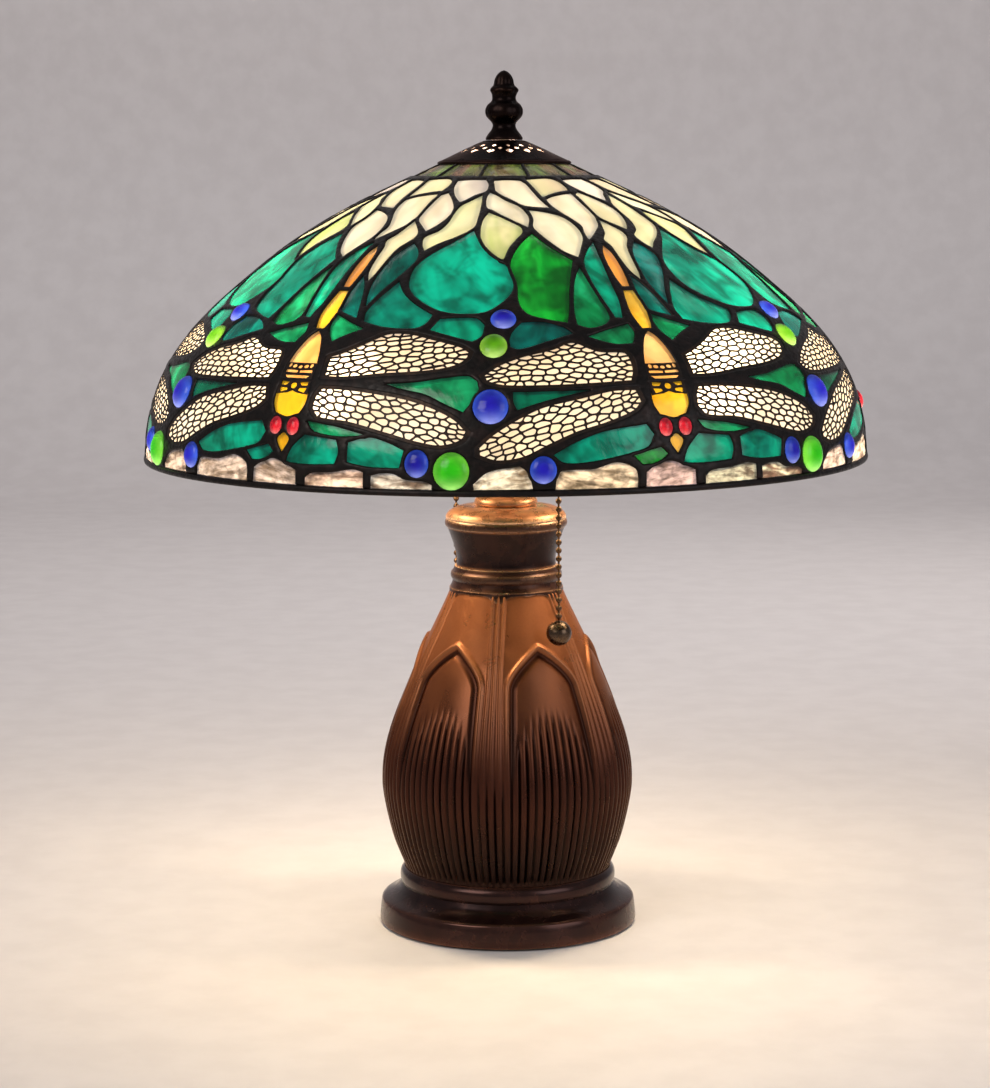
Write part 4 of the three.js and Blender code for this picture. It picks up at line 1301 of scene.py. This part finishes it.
def urn_piece(material):
    """The cast urn, with its relief in the surface itself."""
    per_repeat = 100
    columns = per_repeat * REPEATS
    line = smooth_profile(URN_PROFILE, 1.1)
    turn, z = np.meshgrid(np.arange(per_repeat) * REPEAT_DEG / per_repeat + URN_RIB_DEG - 30, line[:, 1])
    radius = np.repeat(line[:, :1], per_repeat, 1)
    relief = urn_relief(turn, z, radius) * smoothstep(33.3, 36.5, z) * smoothstep(196.6, 194.5, z)
    turn = np.hstack([turn + REPEAT_DEG * k for k in range(REPEATS)])
    z, radius, relief = (np.tile(a, (1, REPEATS)) for a in (z, radius, relief))
    slope = np.gradient(line[:, 0], line[:, 1])[:, None]
    lean = 1 / np.sqrt(1 + slope ** 2)
    reach, height = radius + relief * lean, z - relief * lean * slope
    angle = np.radians(turn)
    outer = np.stack([reach * np.sin(angle), -reach * np.cos(angle), height], -1).reshape(-1, 3)
    inside_line = [(PIPE_BORE, 196.3), (PIPE_BORE, 192.3), (30, 191.8), (50, 148), (62, 117), (67, 92),
                   (66.5, 74), (56, 35), (56, 33.3)]
    inner = [(r * math.sin(a), -r * math.cos(a), h) for r, h in inside_line for a in angle[0]]
    made = new_piece("urn_casting", np.vstack([outer, inner]),
                     ring_faces(len(line) + len(inside_line), columns), material, "base", ["vase_body"],
                     "copper_bronze")
    point_layer(made, "relief", "FLOAT", np.concatenate([relief.ravel(), np.zeros(len(inner))]))
    sharpen(made, 60)


def neck_pieces(dark, collar_metal, copper):
    """The stacked neck: scalloped collar, dark sleeve, lip, top disc and step."""
    collar = smooth_profile([(32.8, 196.8), (31.5, 199.4), (31.0, 201.4)], 0.6)
    bead = smooth_profile([(31.3, 201.9), (32.0, 203.2), (32.1, 204.9), (31.6, 206.3), (30.9, 206.9)], 0.5)
    top = smooth_profile([(30.5, 207.4), (30.2, 208.4), (29.8, 209.6)], 0.5)
    section = [*collar, *bead, *top, (PIPE_BORE, 209.6), (PIPE_BORE, 196.6), (32.6, 196.6)]
    turned("neck_collar_casting", section, collar_metal, "base", ["neck_collar"], 128, "copper_bronze")
    for name, node, material, slot, facets, step, outline in (
        ("neck_sleeve_turning", "neck_sleeve", dark, "dark_bronze", 128, 0.9,
         [(28.8, 209.9), (28.6, 214), (30.2, 221.5), (32.8, 229), (33.9, 232)]),
        ("neck_lip_turning", "neck_lip", collar_metal, "copper_bronze", 128, 0.5,
         [(34.5, 232.3), (35.1, 233.2), (35.3, 234.6), (35.0, 236.0), (34.3, 236.9)]),
        ("neck_top_turning", "neck_top_disc", copper, "copper_bronze", 128, 0.8,
         [(34.5, 237.2), (34.8, 237.9), (34.4, 239.0), (33.2, 240.6), (29.6, 242.7), (25.0, 243.9),
          (22.0, 244.2)]),
        ("neck_step_turning", "neck_step", copper, "copper_bronze", 96, 0.6,
         [(17.4, 244.6), (18.2, 245.6), (18.0, 247.2), (16.8, 248.8), (13.2, 250.4), (11.5, 250.6)]),
    ):
        bore = [(PIPE_BORE, outline[-1][1]), (PIPE_BORE, outline[0][1])]
        turned(name, [*smooth_profile(outline, step), *bore], material, "base", [node], facets, slot)


def collar_skirt(material):
    """The collar's scalloped lower edge, cast over the top of the urn."""
    columns, top = 180, 197.2
    line = np.array(URN_PROFILE)
    angle = circle(columns)
    rib_turn = from_rib(np.degrees(angle))
    edge = 195.2 - 3.6 * bell(rib_turn / 13) + 0.5 * bell((np.abs(rib_turn) - 22) / 9)
    face = [(share, 0.35 + 0.35 * math.sin(math.pi * (0.12 + 0.6 * share))) for share in np.linspace(0, 1, 5)]
    rings = []
    for share, lift in [*face, (1.0, -0.9), (0.0, -0.9)]:
        z = edge + (top - edge) * share
        r = np.interp(z, line[:, 1], line[:, 0]) + lift
        rings.append(np.stack([r * np.sin(angle), -r * np.cos(angle), z], 1))
    made = new_piece("neck_collar_skirt", np.vstack(rings), ring_faces(len(rings), columns), material, "base",
                     (), "copper_bronze")
    clean(made)
    sharpen(made, 50)


# ---------------------------------------------------------------- lampholders, bulbs and chains

def along_x(second):
    """Turns a profile's axis onto +X at the cluster's height, or -X for the second lampholder."""
    turn = Matrix.Rotation(math.pi, 4, "Z") if second else Matrix.Identity(4)
    return turn @ Matrix.Translation((0, 0, CLUSTER_Z)) @ Matrix.Rotation(math.pi / 2, 4, "Y")


def bent_tube(name, path, inner, outer, material, body, replaces, slot):
    """A hollow tube along a path at a constant X, flared a little at its far mouth."""
    around, last = 24, len(path) - 1
    path = [Vector(p) for p in path]
    side = Vector((1, 0, 0))
    points = []
    for radius, stations in ((outer, range(last + 1)), (inner, range(last, -1, -1))):
        for k in stations:
            across = (path[min(k + 1, last)] - path[max(k - 1, 0)]).cross(side).normalized()
            reach = radius * (1.12 if radius == outer and k >= last - 1 else 1.0)
            points += [path[k] + (side * math.cos(a) + across * math.sin(a)) * reach for a in circle(around)]
    made = new_piece(name, points, ring_faces(2 * len(path), around), material, body, replaces, slot)
    clean(made)
    sharpen(made)


def lampholder_pieces(number, materials):
    """Socket cap, shell, chain guide and bulb of one lampholder."""
    place = along_x(number == 2)
    brass = materials["brass"]
    cap = smooth_profile([(5.2, 14.3), (9, 14.3), (13.8, 16.2), (17.2, 20.3), (18.5, 24.5), (18.6, 30.0)],
                         0.7)
    bead = smooth_profile([(18.9, 30.6), (19.1, 31.6), (18.7, 32.6)], 0.5)
    section = [*cap, *bead, (18.6, 37.3), (17.4, 37.3), (17.4, 25), (13, 17.7), (8.8, 15.6), (5.2, 15.6)]
    turned(f"socket_cap_turning_{number}", section, brass, "base", [f"socket_cap_{number}"], 48, "brass",
           place)
    shell = smooth_profile([(17.2, 37.6), (17.2, 41), (17.6, 42), (17.2, 43), (17.2, 62.8), (18.0, 64.8),
                            (17.5, 66.3)], 1.2)
    turned(f"socket_shell_turning_{number}", [*shell, (16.4, 66.3), (16.4, 37.6)], brass, "base",
           [f"socket_shell_{number}"], 48, "brass", place)
    sign = -1 if number == 2 else 1
    bend = [(-19.1, 0), (-27, 0), (-36, 0), (-40.4, -0.4), (-43.9, -1.9), (-46.1, -4.6), (-47, -8.4),
            (-47, -14), (-47, -18.6), (-47, -20)]
    path = [(sign * GUIDE_OUT, sign * y, CLUSTER_Z + z) for y, z in bend]
    bent_tube(f"chain_guide_tube_{number}", path, 2.5, 3.5, brass, "base", [f"chain_guide_{number}"], "brass")
    globe = smooth_profile([(11.6, 63.2), (12.8, 64.5), (15.2, 68.5), (20.5, 75.0), (26.2, 82.6), (28.9, 92),
                            (28.9, 98), (26.6, 107), (21.0, 115.2), (12.6, 121.0), (4.0, 123.4),
                            (0.01, 123.6)], 1.6)
    hollow = [(0.01, 122.6), (12.2, 120.0), (20.4, 114.2), (25.8, 106.4), (28.0, 97.6), (28.0, 92.4),
              (25.4, 83.2), (19.8, 75.8), (11.6, 66.0)]
    bulb = turned(f"bulb_globe_{number}", [*globe, *hollow], materials["bulb"], f"bulb_{number}",
                  [f"bulb_glass_{number}"], 64, "bulb_glass", place)
    bulb.visible_shadow = False


def bead_chain(number, materials):
    """A chain of hollow brass balls on short links, hanging from the guide to its weight."""
    sign = -1 if number == 2 else 1
    x, y = sign * GUIDE_OUT, -sign * CHAIN_OFFSET
    top, bottom = CHAIN_TOP_Z, PULL_BALL_Z + PULL_BALL_RADIUS + 0.3
    bead_radius, link_radius, around = 1.75, 0.55, 12
    count = int((top - bottom) // BEAD_PITCH)
    pitch = (top - bottom) / count
    profile = []
    for bead in range(count):
        centre = top - (bead + 0.5) * pitch
        for lean in math.pi * np.linspace(0.12, 0.88, 7):
            profile.append((bead_radius * math.sin(lean), centre + bead_radius * math.cos(lean)))
        profile.append((link_radius, centre - pitch / 2))
    points = [(x + r * math.cos(a), y + r * math.sin(a), z) for r, z in profile for a in circle(around)]
    end = len(points)
    faces = [*ring_faces(len(profile), around, closed=False), *fan(0, around, end),
             *fan(end - around, around, end + 1)]
    chain = new_piece(f"bead_chain_{number}", [*points, (x, y, top), (x, y, bottom)], faces,
                      materials["chain"], f"pull_{number}", [f"pull_chain_{number}"], "antique_brass_chain")
    clean(chain)
    reach = PULL_BALL_RADIUS + 0.15
    weight = [(reach * math.sin(a), reach * math.cos(a)) for a in np.linspace(0.02, math.pi - 0.02, 24)]
    ball = turned(f"pull_ball_turning_{number}", weight, materials["ball"], f"pull_{number}",
                  [f"pull_ball_{number}"], 48, "dark_bronze", Matrix.Translation((x, y, PULL_BALL_Z)))
    path = [(x * MM, y * MM, height * MM) for height in np.linspace(top, bottom, 16)]


def in_pairs(*names):
    return [f"{name}_{number}" for name in names for number in (1, 2)]


def finish_hidden_nodes(materials):
    """Gives the CAD pieces that stay as they are their own finish."""
    for look, names in {
        "felt": ["felt_pad"],
        "dark_bronze": ["pipe_cover"],
        "steel": ["lamp_pipe", "bottom_washer", "riser_rod", "shade_wheel",
                  *in_pairs("socket_nipple", "bulb_base")],
        "brass": ["bottom_nut", "cluster_hub", "wheel_nut", "aperture_ring", *in_pairs("screw_shell")],
        "phenolic": ["cord_bushing", *in_pairs("switch_body")],
        "card": in_pairs("insulating_sleeve"),
    }.items():
        for name in names:
            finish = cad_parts[name].data.materials
            finish.clear()
            finish.append(materials[look])


# ---------------------------------------------------------------- stage and light

def add_light(kind, name, place, energy, colour, size, aim=None):
    data = bpy.data.lights.new(name, kind)
    data.energy = energy
    data.color = colour
    if kind == "AREA":
        data.shape = "RECTANGLE"
        data.size, data.size_y = size
    else:
        data.shadow_soft_size = size
    lamp = add_object(name, data)
    lamp.location = Vector(place)
    if aim is not None:
        lamp.rotation_euler = (Vector(aim) - Vector(place)).to_track_quat("-Z", "Y").to_euler()
    lamp.visible_camera = False
    return lamp


def add_stage():
    """A pale floor that sweeps up behind the lamp, in metres."""
    made, tree = new_material("pale_floor")
    grain = noise(tree, places(tree), 30.0, 4.0)
    tone = mix(tree, ramp(tree, grain, 0.3, 0.7), (0.60, 0.56, 0.55), (0.64, 0.60, 0.59))
    principled(made, Base_Color=tone, Roughness=0.55)
    front, radius, depth, half_width, rise = -2.2, 0.6, 2.6, 5.0, 3.0
    line = [(front, 0.0), (depth - radius, 0.0)]
    line += [(depth - radius + radius * math.sin(a), radius - radius * math.cos(a))
             for a in np.linspace(0.1, math.pi / 2, 12)]
    line.append((depth, rise))
    points = [(x, y, z) for y, z in line for x in (-half_width, half_width)]
    faces = [(2 * k, 2 * k + 1, 2 * k + 3, 2 * k + 2) for k in range(len(line) - 1)]
    mesh = bpy.data.meshes.new("floor")
    mesh.from_pydata(points, [], faces)
    mesh.materials.append(made)
    mesh.polygons.foreach_set("use_smooth", [True] * len(mesh.polygons))
    add_object("floor", mesh)


def add_lighting():
    """Soft studio light round the lamp, and its own two bulbs."""
    world = bpy.data.worlds.new("studio")
    world.use_nodes = True
    sky = world.node_tree.nodes["Background"].inputs
    sky["Color"].default_value = (0.80, 0.80, 0.86, 1)
    sky["Strength"].default_value = 0.35
    bpy.context.scene.world = world
    middle = (0, 0, 0.25)
    add_light("AREA", "key", (-1.3, -1.5, 1.5), 22, (1.0, 0.96, 0.92), (1.2, 1.2), middle)
    add_light("AREA", "fill", (1.5, -1.2, 0.9), 10, (0.90, 0.93, 1.0), (1.2, 1.2), middle)
    rim = add_light("AREA", "rim", (0.6, 1.3, 1.3), 12, (1.0, 0.95, 0.9), (1.2, 0.8), middle)
    rim.visible_glossy = False      # its reflection would turn the far side's glass white
    add_light("AREA", "backdrop", (0, 1.1, 2.3), 18, (1.0, 0.97, 0.96), (3.0, 0.6), (0, 2.6, 0.9))
    for number, x in ((1, 0.095), (2, -0.095)):
        add_light("POINT", f"filament_{number}", (x, 0, CLUSTER_Z * MM), 2.6, (1.0, 0.78, 0.50), 0.024)
    add_light("POINT", "cap_glow", (0, 0.012, 0.4415), 0.06, (1.0, 0.86, 0.78), 0.004)


# ---------------------------------------------------------------- build

def make_materials():
    return {
        # after each glass's roughness comes the strength of its painted glow, which stands in for more of the
        # bulbs' light
        "crown": glass_front("glass_crown", 0.12, 0.07, 0.10, 9.0, 0.9, 0.0006, (0.22, 1.0)),
        "leaf": glass_front("glass_leaf", 0.16, 0.24, 0.17, 26.0, 0.9, 0.0, (0.74, 1.0)),
        "field": glass_front("glass_field", 0.14, 0.10, 0.26, 18.0, 1.0, 0.0, (0.28, 1.0), 0.10),
        "body": glass_front("glass_body", 0.14, 0.22, 0.24, 20.0, 0.8, 0.0, (0.7, 1.0), 0.15),
        "wing": glass_front("glass_wing", 0.2, 0.42, 0.56, 24.0, 0.8, 0.0, (0.80, 1.0), 0.50),
        "border": glass_front("glass_border", 0.07, 0.28, 0.52, 6.0, 1.0, 0.0010, (0.42, 1.0), 0.14),
        "jewel": glass_front("glass_jewel", 0.05, 0.24, 0.34, 12.0, 0.9, 0.0, (0.8, 1.0)),
        "glass_back": glass_back(),
        "came": came_metal("came", (0.005, 0.003, 0.002), (0.016, 0.008, 0.006), (0.34, 0.55)),
        "net": came_metal("net", (0.014, 0.008, 0.005), (0.040, 0.020, 0.010), (0.35, 0.55)),
        "dark_bronze": bronze("dark_bronze", (0.016, 0.006, 0.004), (0.032, 0.012, 0.008), (0.20, 0.32),
                              (0.30, 0.13, 0.06)),
        "collar_bronze": bronze("collar_bronze", (0.032, 0.012, 0.008), (0.065, 0.024, 0.013), (0.22, 0.34),
                                (0.85, 0.50, 0.28)),
        "cap_bronze": bronze("cap_bronze", (0.004, 0.002, 0.002), (0.010, 0.005, 0.004), (0.24, 0.38),
                             (0.035, 0.014, 0.007), gleam=(0.45, 0.34, 0.30)),
        # painted light: the cap's underside glows as if lit by the bulbs
        "cap_underside_painted_glow": lit("cap_underside_painted_glow", (0.6, 0.45, 0.36), 0.5, (0.35, 0.65, 220.0), (1.0, 0.74, 0.58),
                          (0.95, 0.52, 0.34), 0.75),
        "foot_bronze": bronze("foot_bronze", (0.020, 0.008, 0.007), (0.042, 0.016, 0.012), (0.18, 0.30),
                              (0.22, 0.085, 0.05)),
        "copper_bronze": bronze("copper_bronze", (0.20, 0.078, 0.034), (0.36, 0.15, 0.066), (0.22, 0.34),
                                (0.90, 0.56, 0.34), metal=0.8),
        "brass": plain_metal("brass", (0.46, 0.29, 0.10), 0.28),
        "chain": plain_metal("antique_brass", (0.16, 0.085, 0.045), 0.24),
        "ball": plain_metal("oil_rubbed_ball", (0.11, 0.07, 0.045), 0.16),
        "steel": plain_metal("plated_steel", (0.55, 0.55, 0.56), 0.32),
        "phenolic": dull("phenolic", (0.020, 0.014, 0.012), (0.035, 0.026, 0.022), 300.0, 0.5),
        "card": dull("card", (0.52, 0.40, 0.24), (0.40, 0.29, 0.16), 220.0, 0.9),
        "felt": dull("felt", (0.03, 0.10, 0.05), (0.06, 0.17, 0.10), 900.0, 1.0, 0.4, 0.0006),
        "bulb": lit("bulb_glass_lit", (0.9, 0.86, 0.78), 0.25, (0.3, 0.7, 40.0), (1.0, 0.80, 0.52),
                    (1.0, 0.88, 0.66), 16.0),
    }


def main():
    add_camera()
    bpy.context.scene.view_settings.view_transform = "Standard"
    materials = make_materials()
    for number in (1, 2):
        bead_chain(number, materials)
    panes = one_repeat()
    glass_pieces(panes, materials)
    jewel_piece(panes, materials)
    leadwork_piece(panes, materials["came"])
    filigree_pieces(panes, materials["net"])
    rim_piece(materials["came"])
    heat_cap_piece(materials["cap_bronze"], materials["cap_underside_painted_glow"])
    finial_piece(materials["cap_bronze"])
    foot_piece(materials["foot_bronze"])
    urn_piece(urn_bronze())
    neck_pieces(materials["dark_bronze"], materials["collar_bronze"], materials["copper_bronze"])
    collar_skirt(materials["dark_bronze"])
    for number in (1, 2):
        lampholder_pieces(number, materials)
    finish_hidden_nodes(materials)
    add_stage()
    add_lighting()


main()
